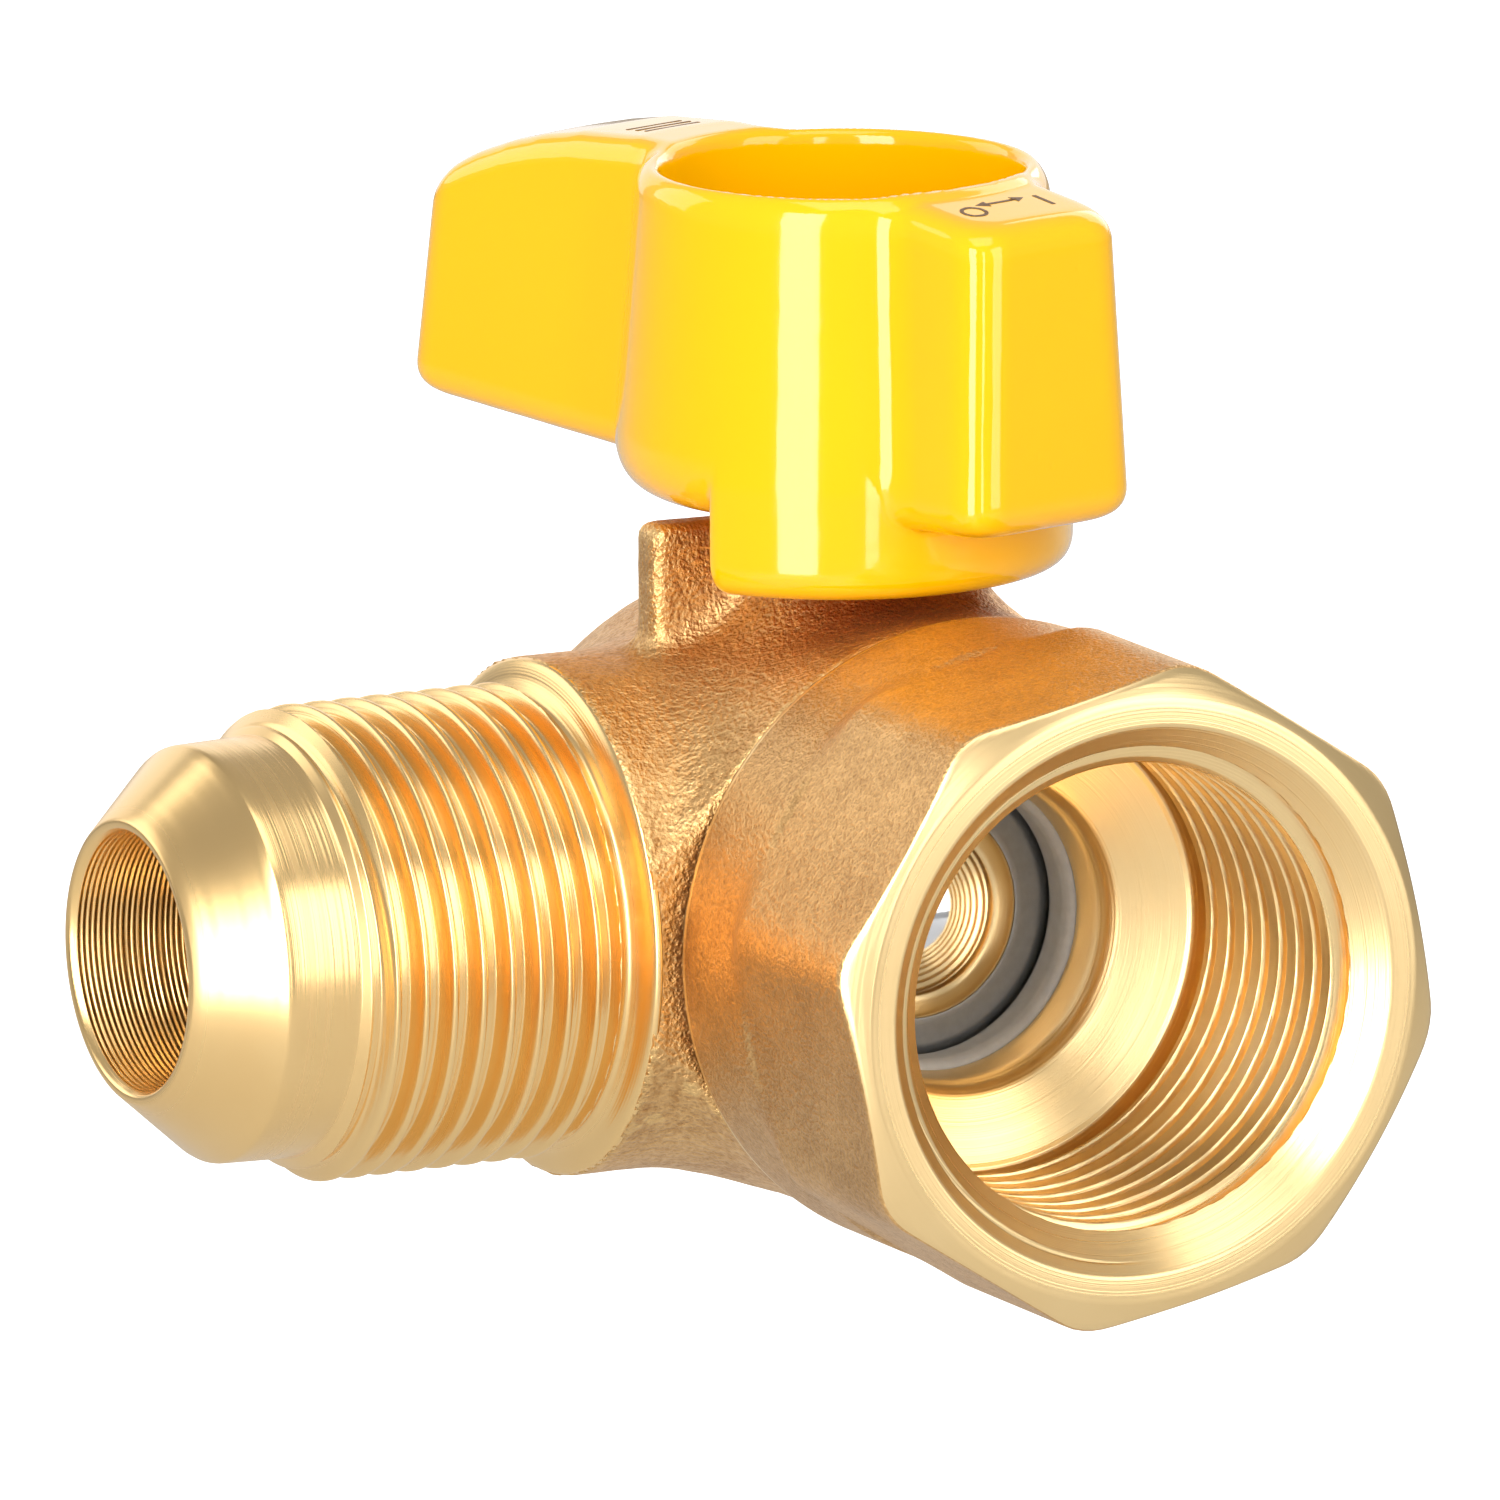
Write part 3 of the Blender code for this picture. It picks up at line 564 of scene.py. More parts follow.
def rounded(points: Points, size: float) -> Points:
    """Round each inner corner of an outline with three points.

    Args:
        points: the outline's (along, radius) corners.
        size: how far from the corner the rounding starts.

    Returns:
        The outline with its ends as they were.
    """
    made = [points[0]]
    for before, corner, after in zip(points, points[1:], points[2:]):
        here = np.array(corner)
        ends = []
        for other in (before, after):
            away = np.array(other) - here
            reach = min(size, 0.4 * float(np.linalg.norm(away)))
            ends.append(here + away / max(1e-9, float(np.linalg.norm(away))) * reach)
        middle = 0.25 * ends[0] + 0.5 * here + 0.25 * ends[1]
        made += [tuple(ends[0]), tuple(middle), tuple(ends[1])]
    return [*made, points[-1]]


def rings(points: Points, step: float, **marks: object) -> list[Ring]:
    """Return rings along an outline, no further apart than a step, without its last point."""
    made = []
    for start, end in zip(points, points[1:]):
        count = max(1, math.ceil(math.dist(start, end) / step))
        for i in range(count):
            share = i / count
            made.append(Ring(*(a + (b - a) * share for a, b in zip(start, end)), **marks))
    return made


@dataclass
class Lathe:
    """Bakes turned pieces from rings, through the Geometry Nodes tree."""

    tree: SpinTree

    def spin(
        self,
        name: str,
        rows: list[Ring],
        axis: Axis,
        finishes: tuple[bpy.types.Material, bpy.types.Material],
        thread: Thread = Thread(),
        steps: int = 128,
        start: float = 0.0,
        turn: float = 0.0,
    ) -> bpy.types.Object:
        """Make one closed piece whose rings form a loop.

        Args:
            name: the piece's name.
            rows: its rings in order, from the last back to the first.
            axis: the axis it is made about.
            finishes: its forged and its machined material.
            thread: the screw thread to cut, if any ring is threaded.
            steps: points in a ring.
            start: the angle of the first point, in degrees.
            turn: how far the finished piece is turned about its axis.

        Returns:
            The piece, with its place in its mesh.
        """
        angles = math.radians(start) + np.arange(steps) * math.tau / steps
        ones = np.ones(steps)
        count = len(rows)
        marks = (("along", "along"), ("blank", "radius"), ("threaded", "threaded"), ("fed", "fed"))
        values = {"angle": np.tile(angles, count)} | {
            label: np.concatenate([ones * getattr(row, part) for row in rows]) for label, part in marks
        }
        row, column = np.meshgrid(np.arange(count), np.arange(steps), indexing="ij")
        after, beside = (row + 1) % count, (column + 1) % steps
        corners = ((row, column), (row, beside), (after, beside), (after, column))
        faces = np.stack([line * steps + place for line, place in corners], -1).reshape(-1, 4)
        flat = np.stack([values["along"], values["angle"], values["blank"]], -1)
        grid = bpy.data.meshes.new(f"{name}_grid")
        grid.from_pydata(flat.tolist(), [], faces.tolist())
        for label, numbers in values.items():
            attribute = grid.attributes.new(label, "FLOAT", "POINT")
            attribute.data.foreach_set("value", numbers.astype(np.float32))
        metal = [rows[i].machined and rows[(i + 1) % count].machined for i in range(count)]
        attribute = grid.attributes.new("machined", "BOOLEAN", "FACE")
        attribute.data.foreach_set("value", np.repeat(metal, steps))
        source = linked(f"{name}_grid", grid)
        modifier = source.modifiers.new("Spin", "NODES")
        modifier.node_group = self.tree.tree
        inputs = self.tree.values(thread) | dict(zip(("Forged Finish", "Machined Finish"), finishes))
        for item in self.tree.tree.interface.items_tree:
            if item.item_type == "SOCKET" and item.name in inputs:
                modifier[item.identifier] = inputs[item.name]
        return self._baked(name, source, axis.matrix(turn))

    def _baked(self, name: str, source: bpy.types.Object, place: Matrix) -> bpy.types.Object:
        """Return the evaluated grid as a plain mesh object in the row frame, and drop the grid."""
        graph = bpy.context.evaluated_depsgraph_get()
        mesh = bpy.data.meshes.new_from_object(source.evaluated_get(graph))
        bpy.data.objects.remove(source)
        mesh.name = name
        mesh.transform(place)
        for label in ("angle", "along", "blank", "threaded", "fed", "machined"):
            mesh.attributes.remove(mesh.attributes[label])
        return shown(name, mesh, TURNED_SHARP_ANGLE)


def mesh_of(shape: bmesh.types.BMesh, name: str) -> bpy.types.Mesh:
    """Return a new mesh with this shape, and free the shape."""
    mesh = bpy.data.meshes.new(name)
    shape.to_mesh(mesh)
    shape.free()
    return mesh


def linked(name: str, data: bpy.types.ID) -> bpy.types.Object:
    """Return a new object in the scene that shows this mesh, light or camera."""
    made = bpy.data.objects.new(name, data)
    bpy.context.scene.collection.objects.link(made)
    return made


def shown(name: str, mesh: bpy.types.Mesh, sharp: float = SHARP_ANGLE) -> bpy.types.Object:
    """Link a mesh as an object at the origin, closed, facing out and smooth between its sharp edges."""
    shape = bmesh.new()
    shape.from_mesh(mesh)
    bmesh.ops.remove_doubles(shape, verts=shape.verts, dist=1e-8)
    bmesh.ops.recalc_face_normals(shape, faces=shape.faces)
    shape.to_mesh(mesh)
    shape.free()
    mesh.shade_smooth()
    mesh.set_sharp_from_angle(angle=sharp)
    return linked(name, mesh)


def dressed(
    piece: bpy.types.Object,
    body: Body,
    replaced: tuple[str, ...] = (),
    finish: bpy.types.Material | None = None,
) -> None:
    """Give a piece its finish, its body and the CAD nodes it stands for.

    Args:
        piece: the finished object.
        body: the body it rides on.
        replaced: the CAD nodes that it stands for.
        finish: its material, if the mesh has none yet.
    """
    if finish is not None:
        piece.data.materials.clear()
        piece.data.materials.append(finish)
    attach(piece, body.value)
    if replaced:
        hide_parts(*replaced)
    LOG.info("%s rides on %s: %d faces", piece.name, body.value, len(piece.data.polygons))


# ---------------------------------------------------------------- solids from distances


def soft_min(first: Array, second: Array, reach: float) -> Array:
    """Return the smaller of two distances, blended where they are within reach of each other."""
    share = np.clip(0.5 + 0.5 * (second - first) / reach, 0.0, 1.0)
    return second * (1.0 - share) + first * share - reach * share * (1.0 - share)


def soft_max(first: Array, second: Array, reach: float) -> Array:
    """Return the larger of two distances, blended where they are within reach of each other."""
    return -soft_min(-first, -second, reach)


def eased(share: Array) -> Array:
    """Return a share from 0 to 1 that starts and ends gently."""
    return share * share * (3.0 - 2.0 * share)


def ripple(points: Array, size: float, seed: int) -> Array:
    """Return a smooth uneven field of about unit height, with bumps this many millimetres apart."""
    draw = np.random.default_rng(seed)
    total = np.zeros(points.shape[:-1])
    waves = 14
    for _ in range(waves):
        way = draw.normal(size=3)
        way *= math.tau / (size * draw.uniform(0.7, 1.6)) / np.linalg.norm(way)
        total += np.sin(points @ way + draw.uniform(0.0, math.tau))
    return total / math.sqrt(waves)


@dataclass
class Blend(ABC):
    """A closed solid given by its distance field, meshed by a surface net."""

    step: float = 0.3

    @abstractmethod
    def distance(self, points: Array) -> Array:
        """Return each point's distance outside the surface, in the solid's own frame."""

    @abstractmethod
    def corners(self) -> tuple[Array, Array]:
        """Return the low and high corner of a box that holds the solid."""

    def mesh(self, name: str, place: Matrix) -> bpy.types.Mesh:
        """Return the solid's surface.

        Args:
            name: the mesh's name.
            place: the matrix from the solid's own millimetres to the row frame's metres.
        """
        low, high = self.corners()
        counts = np.ceil((high - low) / self.step).astype(int) + 1
        lines = [low[i] + np.arange(counts[i]) * self.step for i in range(3)]
        values = self.distance(np.stack(np.meshgrid(*lines, indexing="ij"), -1))
        points, faces = self._net(values, low)
        for _ in range(3):
            points = self._onto_surface(points)
        mesh = bpy.data.meshes.new(name)
        mesh.from_pydata(points.tolist(), [], faces.tolist())
        mesh.transform(place)
        return mesh

    def _net(self, values: Array, low: Array) -> tuple[Array, Array]:
        """Return a point in each grid cell that the surface crosses, and quads that join them."""
        inside = values < 0.0
        shape = np.array(values.shape) - 1
        full = sum(
            inside[i : i + shape[0], j : j + shape[1], k : k + shape[2]].astype(np.int8)
            for i, j, k in product((0, 1), repeat=3)
        )
        mixed = (full > 0) & (full < 8)
        index = np.full(shape, -1)
        index[mixed] = np.arange(mixed.sum())
        cells = np.argwhere(mixed)
        total, hits = np.zeros((len(cells), 3)), np.zeros(len(cells))
        for axis, a, b in product(range(3), (0, 1), (0, 1)):
            start = np.zeros(3, int)
            start[(axis + 1) % 3], start[(axis + 2) % 3] = a, b
            end = start.copy()
            end[axis] = 1
            first, last = values[tuple((cells + start).T)], values[tuple((cells + end).T)]
            crossed = (first < 0.0) != (last < 0.0)
            share = np.where(crossed, first / np.where(crossed, first - last, 1.0), 0.0)
            total += np.where(crossed[:, None], start + share[:, None] * (end - start), 0.0)
            hits += crossed
        points = low + (cells + total / hits[:, None]) * self.step
        faces = [self._quads(inside, index, axis) for axis in range(3)]
        return points, np.concatenate(faces)

    @staticmethod
    def _quads(inside: Array, index: Array, axis: int) -> Array:
        """Return the quads round the grid edges along one axis that the surface crosses."""
        near = np.take(inside, range(inside.shape[axis] - 1), axis)
        far = np.take(inside, range(1, inside.shape[axis]), axis)
        edges = np.argwhere(near != far)
        u, v = (axis + 1) % 3, (axis + 2) % 3
        limit = np.array(index.shape)
        keep = (edges[:, u] > 0) & (edges[:, v] > 0) & (edges[:, u] < limit[u]) & (edges[:, v] < limit[v])
        edges = edges[keep]
        leaving = near[tuple(edges.T)]
        shift_u, shift_v = np.eye(3, dtype=int)[u], np.eye(3, dtype=int)[v]
        ring = [edges - shift_u - shift_v, edges - shift_v, edges, edges - shift_u]
        quads = np.stack([index[tuple(cell.T)] for cell in ring], -1)
        return np.where(leaving[:, None], quads, quads[:, ::-1])

    def _onto_surface(self, points: Array) -> Array:
        """Return the points moved along the field's slope onto its surface."""
        reach = 0.02
        slope = np.stack(
            [
                (self.distance(points + way * reach) - self.distance(points - way * reach)) / (2.0 * reach)
                for way in np.eye(3)
            ],
            -1,
        )
        size = np.maximum((slope**2).sum(-1), 0.05)
        move = self.distance(points) / size
        return points - slope * np.clip(move, -0.5 * self.step, 0.5 * self.step)[:, None]


@dataclass
class ForgedBody(Blend):
    """The body's forging: ball chamber, domed back, outlet neck, stem boss and stop lug."""

    step: float = 0.34
    rim_y: float = 19.7
    barrel_r: float = 15.5
    dome_y: float = 38.7
    dome_r: float = 15.0
    back_y: float = 52.2
    neck_r: float = 13.02
    neck_end: float = 17.1
    boss_r: float = 6.1
    boss_top: float = 20.8
    lug_low: tuple[float, float, float] = (-11.35, 30.7, 9.0)
    lug_high: tuple[float, float, float] = (-4.0, 33.1, 19.45)
    lug_edge: float = 0.75
    boss_low: float = 8.0
    neck_blend: float = 3.2
    boss_blend: float = 4.5
    lug_blend: float = 1.3
    back_edge: float = 1.6
    rim_edge: float = 0.45
    bore_edge: float = 0.2
    sleeve_hole_r: float = 8.0
    sleeve_hole_at: float = 6.0
    stem_hole_r: float = 3.9
    flange_hole_r: float = 5.4
    flange_hole_top: float = 14.4
    stem_hole_low: float = 6.0
    spigot_hole: tuple[float, float] = (26.8, 13.25)
    ball_hole: tuple[float, float] = (40.2, 11.6)
    seat_hole: tuple[float, float] = (43.8, 10.4)

    def corners(self) -> tuple[Array, Array]:
        """Return the low and high corner of a box that holds the solid."""
        return np.array([-18.0, 18.9, -16.6]), np.array([16.6, 53.2, 21.7])

    def distance(self, points: Array) -> Array:
        """Return each point's distance outside the forging."""
        x, y, z = np.moveaxis(points, -1, 0)
        depth = y - BALL_Y
        radius = np.interp(y, (28.0, self.dome_y), (self.barrel_r, self.dome_r))
        barrel = np.sqrt(x**2 + z**2 + np.maximum(y - self.dome_y, 0.0) ** 2) - radius
        barrel = soft_max(barrel, y - self.back_y, self.back_edge)
        neck = np.maximum(np.hypot(depth, z) - self.neck_r, np.maximum(x, -x - self.neck_end))
        ends = np.maximum(z - self.boss_top, self.boss_low - z)
        boss = np.maximum(np.hypot(x, depth) - self.boss_r, ends)
        middle = (np.array(self.lug_low) + np.array(self.lug_high)) / 2.0
        half = (np.array(self.lug_high) - np.array(self.lug_low)) / 2.0 - self.lug_edge
        away = np.abs(points - middle) - half
        outside, inside = np.maximum(away, 0.0), np.minimum(away.max(-1), 0.0)
        lug = np.linalg.norm(outside, axis=-1) + inside - self.lug_edge
        forged = soft_min(soft_min(barrel, neck, self.neck_blend), boss, self.boss_blend)
        forged = soft_min(forged, lug, self.lug_blend)
        forged = forged + 0.014 * ripple(points, 3.0, 7) + 0.008 * ripple(points, 1.1, 11)
        faced = soft_max(forged, self.rim_y - y, self.rim_edge)
        faced = np.maximum(faced, -x - self.neck_end)
        sleeve = np.maximum(np.hypot(depth, z) - self.sleeve_hole_r, x + self.sleeve_hole_at)
        bores = np.minimum(self._chamber(x, y, z), sleeve)
        hole_r = np.where(z > self.flange_hole_top, self.stem_hole_r, self.flange_hole_r)
        stem = np.maximum(np.hypot(x, depth) - hole_r, self.stem_hole_low - z)
        return soft_max(faced, -np.minimum(bores, stem), self.bore_edge)

    def _chamber(self, x: Array, y: Array, z: Array) -> Array:
        """Return the distance outside the stepped chamber for the spigot, the ball and a seat."""
        spigot_end, spigot_r = self.spigot_hole
        ball_end, ball_r = self.ball_hole
        seat_end, seat_r = self.seat_hole
        radius = np.where(y < spigot_end, spigot_r, np.where(y < ball_end, ball_r, seat_r))
        return np.maximum(np.hypot(x, z) - radius, y - seat_end)


@dataclass
class HandleShape(Blend):
    """The die-cast lever, in its own frame: stem axis at the origin, short wing along -Y."""

    step: float = 0.27
    hub_top: float = 36.9
    hub_base: float = 20.1
    top_r: float = 10.25
    low_r: float = 11.52
    draft_low: float = 21.9
    skirt_r: float = 11.5
    skirt_base: float = 16.5
    skirt_bore: float = 9.2
    cut_from: float = 83.3
    cut_to: float = 190.5
    cup_top_r: float = 9.1
    cup_floor_r: float = 8.7
    cup_floor: float = 26.5
    cup_depth: float = 10.4
    socket_top: float = 21.2
    skirt_top: float = 30.0
    hub_edge: float = 3.6
    skirt_edge: float = 1.6
    cut_edge: float = 0.9
    rear_blend: float = 1.3
    front_blend: float = 1.4
    top_edge: float = 1.5
    rim_edge: float = 0.8
    hole_edge: float = 0.5
    drive_r: float = 3.55
    drive_half: float = 2.75
    drive_low: float = 20.0
    drive_top: float = 28.0
    wing_top: float = 36.5
    wing_drop: float = 16.3
    front_half: float = 4.95
    front_reach: float = 15.45
    front_low: float = 20.2
    rear_half: float = 4.3
    rear_reach: float = 26.8
    rear_low: float = 21.1
    rear_top: tuple[tuple[float, float], ...] = (
        (0.0, 36.9), (12.0, 36.85), (16.3, 36.5), (19.0, 36.0),
        (21.2, 35.4), (23.4, 34.6), (25.2, 33.8), (30.0, 31.0),
    )  # fmt: skip
    front_top: tuple[tuple[float, float], ...] = (
        (0.0, 36.9), (9.6, 36.9), (10.6, 36.5), (15.4, 35.8), (20.0, 35.0),
    )  # fmt: skip

    def corners(self) -> tuple[Array, Array]:
        """Return the low and high corner of a box that holds the solid."""
        return np.array([-12.4, -17.0, 15.8]), np.array([12.4, 28.6, 37.8])

    def distance(self, points: Array) -> Array:
        """Return each point's distance outside the lever."""
        x, y, z = np.moveaxis(points, -1, 0)
        reach = np.hypot(x, y)
        draft = (self.hub_top - z) / (self.hub_top - self.draft_low)
        hub_r = self.top_r + draft * (self.low_r - self.top_r)
        hub = soft_max(reach - hub_r, self.hub_base - z, self.hub_edge)
        skirt_r = np.minimum(hub_r, self.skirt_r)
        skirt = soft_max(reach - skirt_r, self.skirt_base - z, self.skirt_edge)
        skirt = np.maximum(skirt, z - self.skirt_top)
        skirt = soft_max(skirt, self._cutout(x, y), self.cut_edge)
        front = self._front_wing(x, -y, z)
        rear = self._rear_wing(x, y, z)
        winged = soft_min(soft_min(hub, rear, self.rear_blend), front, self.front_blend)
        winged = soft_max(winged, z - self._ceiling(reach, y), self.top_edge)
        solid = np.minimum(winged, skirt)
        widening = self.cup_top_r - self.cup_floor_r
        cup_r = self.cup_floor_r + (z - self.cup_floor) * widening / self.cup_depth
        cup = soft_max(reach - cup_r, self.cup_floor - z, self.top_edge)
        socket = np.maximum(reach - self.skirt_bore, z - self.socket_top)
        sides = np.maximum(reach - self.drive_r, np.abs(x) - self.drive_half)
        hole = np.maximum(sides, np.maximum(z - self.drive_top, self.drive_low - z))
        solid = soft_max(solid, -cup, self.rim_edge)
        return soft_max(solid, -np.minimum(socket, hole), self.hole_edge)

    def _ceiling(self, reach: Array, y: Array) -> Array:
        """Return the height of the upper surface, which falls away along the wings."""
        rear = np.interp(reach, *zip(*self.rear_top))
        front = np.interp(reach, *zip(*self.front_top))
        share = np.clip(0.5 + y / 6.0, 0.0, 1.0)
        return front + (rear - front) * eased(share)

    def _cutout(self, x: Array, y: Array) -> Array:
        """Return the distance inside the sector that frees the skirt between its two stops."""
        middle = math.radians((self.cut_from + self.cut_to) / 2.0)
        half = math.radians((self.cut_to - self.cut_from) / 2.0)
        along = x * math.cos(middle) + y * math.sin(middle)
        across = np.abs(-x * math.sin(middle) + y * math.cos(middle))
        return along * math.sin(half) - across * math.cos(half)

    def _front_wing(self, x: Array, reach: Array, z: Array) -> Array:
        """Return the distance outside the short wing, which widens downwards by its draft."""
        drop = np.clip((self.wing_top - z) / self.wing_drop, 0.0, 1.0)
        sides = np.abs(x) - (self.front_half + 0.75 * drop)
        tip = reach - (self.front_reach + 0.55 * drop)
        return np.maximum(soft_max(soft_max(sides, tip, 2.2), self.front_low - z, 1.7), -reach)

    def _rear_wing(self, x: Array, reach: Array, z: Array) -> Array:
        """Return the distance outside the long wing, whose tip and floor both slope a little."""
        drop = np.clip((self.wing_top - z) / self.wing_drop, 0.0, 1.0)
        sides = np.abs(x) - (self.rear_half + 0.95 * drop)
        tip = (reach - (self.rear_reach + 0.09 * (32.0 - z))) * 0.995
        floor = self.rear_low + 0.058 * (reach - 12.0) - z
        return np.maximum(soft_max(soft_max(sides, tip, 2.4), floor, 1.6), -reach)


# ---------------------------------------------------------------- sub-assemblies


@dataclass
class EndAdapter:
    """The octagonal brass end with the tapered pipe thread, and the bead of sealant behind it."""

    flats_half: float = 15.75
    flats_turn: float = 12.2
    corner_r: float = 16.75
    face_r: float = 15.2
    octagon_end: float = 11.4
    collar_start: float = 14.0
    collar_r: float = 15.95
    shoulder: float = 19.1
    rim: float = 0.22
    spigot_r: float = 13.0
    spigot_end: float = 26.4
    mouth_r: float = 13.84
    bore_r: float = 11.62
    pocket_r: float = 10.4
    face_inner_r: float = 14.1
    face_slope: float = 30.0
    lead_in: float = 0.25
    seat_lip: tuple[tuple[float, float], ...] = (
        (-20.6, 10.4), (-20.6, 8.45), (-21.6, 8.4), (-21.6, 7.5), (-19.6, 7.66), (-18.95, 7.9),
        (-18.55, 8.3), (-17.15, 11.5), (-17.0, 11.64), (-17.0, 13.3), (-15.9, 13.3),
    )  # fmt: skip
    thread_end: float = 15.5
    bead_outline: tuple[tuple[float, float], ...] = (
        (-19.2, 15.56), (-19.4, 15.60), (-19.6, 15.52),
    )  # fmt: skip
    steps: int = 192
    thread: Thread = field(
        default_factory=lambda: Thread(25.4 / 14.0, 11.5, 13.28, 0.04, 0.62, 1.0 / 32.0, 0.55, 0.25, 0.004)
    )

    def octagon(self) -> Array:
        """Return the octagon's radius at each angle, its corners turned down."""
        angles = np.degrees(np.arange(self.steps) * math.tau / self.steps)
        off = np.radians((angles + 22.5) % 45.0 - 22.5)
        return soft_min(self.flats_half / np.cos(off), np.full(self.steps, self.corner_r), 0.25)

    def build(self, lathe: Lathe, paints: Paintbox) -> None:
        """Make the adapter and its bead of sealant."""
        rows = self._inside() + self._face() + self._outside() + self._spigot()
        finishes = (paints["adapter"], paints["inlet_turned"])
        adapter = lathe.spin(
            "adapter", rows, Axis.INLET, finishes, self.thread, self.steps, start=self.flats_turn
        )
        dressed(adapter, Body.VALVE, ("end_adapter",))
        self._sealant(lathe, paints)

    def _inside(self) -> list[Ring]:
        """Return the rings from the seat's pocket out to the mouth."""
        inner_end = (-self.thread_end, self.bore_r)
        deep = rounded([(-self.spigot_end, self.pocket_r), *self.seat_lip, inner_end], 0.15)
        chamfer = (-(self.mouth_r - self.bore_r), self.bore_r)
        mouth = (-self.lead_in, self.mouth_r - self.lead_in)
        edge = rounded([mouth, (0.0, self.mouth_r), (0.0, self.face_inner_r)], 0.1)
        made = rings(deep, 0.5) + rings([inner_end, chamfer, mouth], THREAD_STEP, threaded=1.0)
        return made + rings(edge, 0.1)

    def _face(self) -> list[Ring]:
        """Return the rings of the machined ring round the mouth and of its turned chamfer."""
        octagon = self.octagon()
        edge = (self.face_r - octagon) * math.tan(math.radians(self.face_slope))
        made = [Ring(0.0, radius) for radius in (self.face_inner_r, 14.6, self.face_r - 0.06)]
        for share in (0.05, 0.35, 0.65, 0.94):
            made.append(Ring(edge * share, self.face_r + (octagon - self.face_r) * share))
        return made

    def _outside(self) -> list[Ring]:
        """Return the rings of the forged outside, from the chamfer's edge to the shoulder."""
        octagon = self.octagon()
        edge = (self.face_r - octagon) * math.tan(math.radians(self.face_slope))
        made = []
        for depth in (0.1, 0.35):
            made.append(Ring(edge - depth, octagon, machined=False))
        for share in np.linspace(0.1, 1.0, 12):
            along = (edge - 0.35) * (1.0 - share) - self.octagon_end * share
            made.append(Ring(along, octagon, machined=False))
        raised = octagon > self.collar_r
        for along in np.linspace(self.octagon_end, self.collar_start, 22)[1:]:
            share = (along - self.octagon_end) / (self.collar_start - self.octagon_end)
            share = np.where(raised, share, np.clip((share - 0.25) / 0.25, 0.0, 1.0))
            share = eased(share)
            made.append(Ring(-along, octagon * (1.0 - share) + self.collar_r * share, machined=False))
        turned = self.shoulder - 2.4 * self.rim
        collar = [(-self.collar_start, self.collar_r), (-turned, self.collar_r)]
        edge_on = [
            (-turned, self.collar_r), (-self.shoulder + self.rim, self.collar_r - 0.03),
            (-self.shoulder, self.collar_r - self.rim), (-self.shoulder, self.spigot_r),
        ]  # fmt: skip
        return made + rings(collar, 0.6, machined=False)[1:] + rings(edge_on, 0.3)

    def _spigot(self) -> list[Ring]:
        """Return the rings of the spigot that screws into the body."""
        end = -self.spigot_end
        outline = [(-self.shoulder, self.spigot_r), (end, self.spigot_r), (end, self.pocket_r)]
        return rings(outline, 1.5)

    def _sealant(self, lathe: Lathe, paints: Paintbox) -> None:
        """Make the uneven bead squeezed out of the joint."""
        angles = np.arange(self.steps) * math.tau / self.steps
        circle = np.stack([np.cos(angles) * 15.6, np.zeros(self.steps), np.sin(angles) * 15.6], -1)
        swell = 0.06 * ripple(circle, 2.0, 3) + 0.03 * ripple(circle, 0.7, 5)
        front, back = -19.08 + 0.3 * swell, -19.72 - 0.3 * swell
        rows = [Ring(front, 13.6), Ring(front, 15.42 + swell)]
        rows += [Ring(along, radius + swell) for along, radius in self.bead_outline]
        rows += [Ring(back, 15.36 + swell), Ring(back, 13.6)]
        bead = lathe.spin("sealant_bead", rows, Axis.INLET, (paints["sealant"],) * 2, steps=self.steps)
        dressed(bead, Body.VALVE, ("joint_seal",))


@dataclass
class FlareEnd:
    """The machined outlet: collar, straight thread, nose, flare cone and bore."""

    collar_r: float = 13.0
    collar_at: float = 17.05
    relief_r: float = 11.25
    thread_r: float = 11.906
    nose_r: float = 10.45
    cone_at: float = 36.15
    tip_r: float = 7.1
    tip_at: float = 40.0
    bore_r: float = 6.5
    sleeve_r: float = 8.2
    sleeve_at: float = 11.7
    feed_at: float = 32.0
    thread_ends: tuple[float, float] = (31.0, 18.7)
    steps: int = 160
    thread: Thread = field(
        default_factory=lambda: Thread(1.5875, 11.906, 10.95, 0.26, 0.93, 0.0, 0.3, 0.31, 0.034)
    )

    def build(self, lathe: Lathe, paints: Paintbox) -> None:
        """Make the outlet."""
        finishes = (paints["outlet_turned"], paints["outlet_turned"])
        piece = lathe.spin("flare_end", self.rows(), Axis.OUTLET, finishes, self.thread, self.steps)
        dressed(piece, Body.VALVE)

    def rows(self) -> list[Ring]:
        """Return the outlet's rings, from the bore's inner end out and back along the outside."""
        inner, fed = (self.sleeve_at, self.bore_r), (self.feed_at, self.bore_r)
        mouth = (self.tip_at - 0.35, self.bore_r)
        made = rings([inner, fed], 1.5) + rings([fed, mouth], 0.05, fed=1.0)
        nose = (32.3, self.nose_r + 0.12)
        tip = [
            mouth, (self.tip_at, self.bore_r + 0.2), (self.tip_at, self.tip_r),
            (self.cone_at, self.nose_r), (32.5, self.nose_r + 0.1), nose,
        ]  # fmt: skip
        made += rings(rounded(tip, 0.14), 0.5)
        first, last = ((along, self.thread_r) for along in self.thread_ends)
        relief = (18.2, self.relief_r + 0.1)
        made += rings([nose, first, last, relief], THREAD_STEP, threaded=1.0)
        neck = [
            relief, (18.0, self.relief_r), (17.8, self.relief_r + 0.12), (17.5, 11.9),
            (17.33, 12.45), (self.collar_at + 0.1, 12.92), (self.collar_at - 0.25, self.collar_r),
            (self.collar_at - 0.3, self.sleeve_r), (self.sleeve_at, self.sleeve_r), inner,
        ]  # fmt: skip
        return made + rings(rounded(neck, 0.12), 0.6)


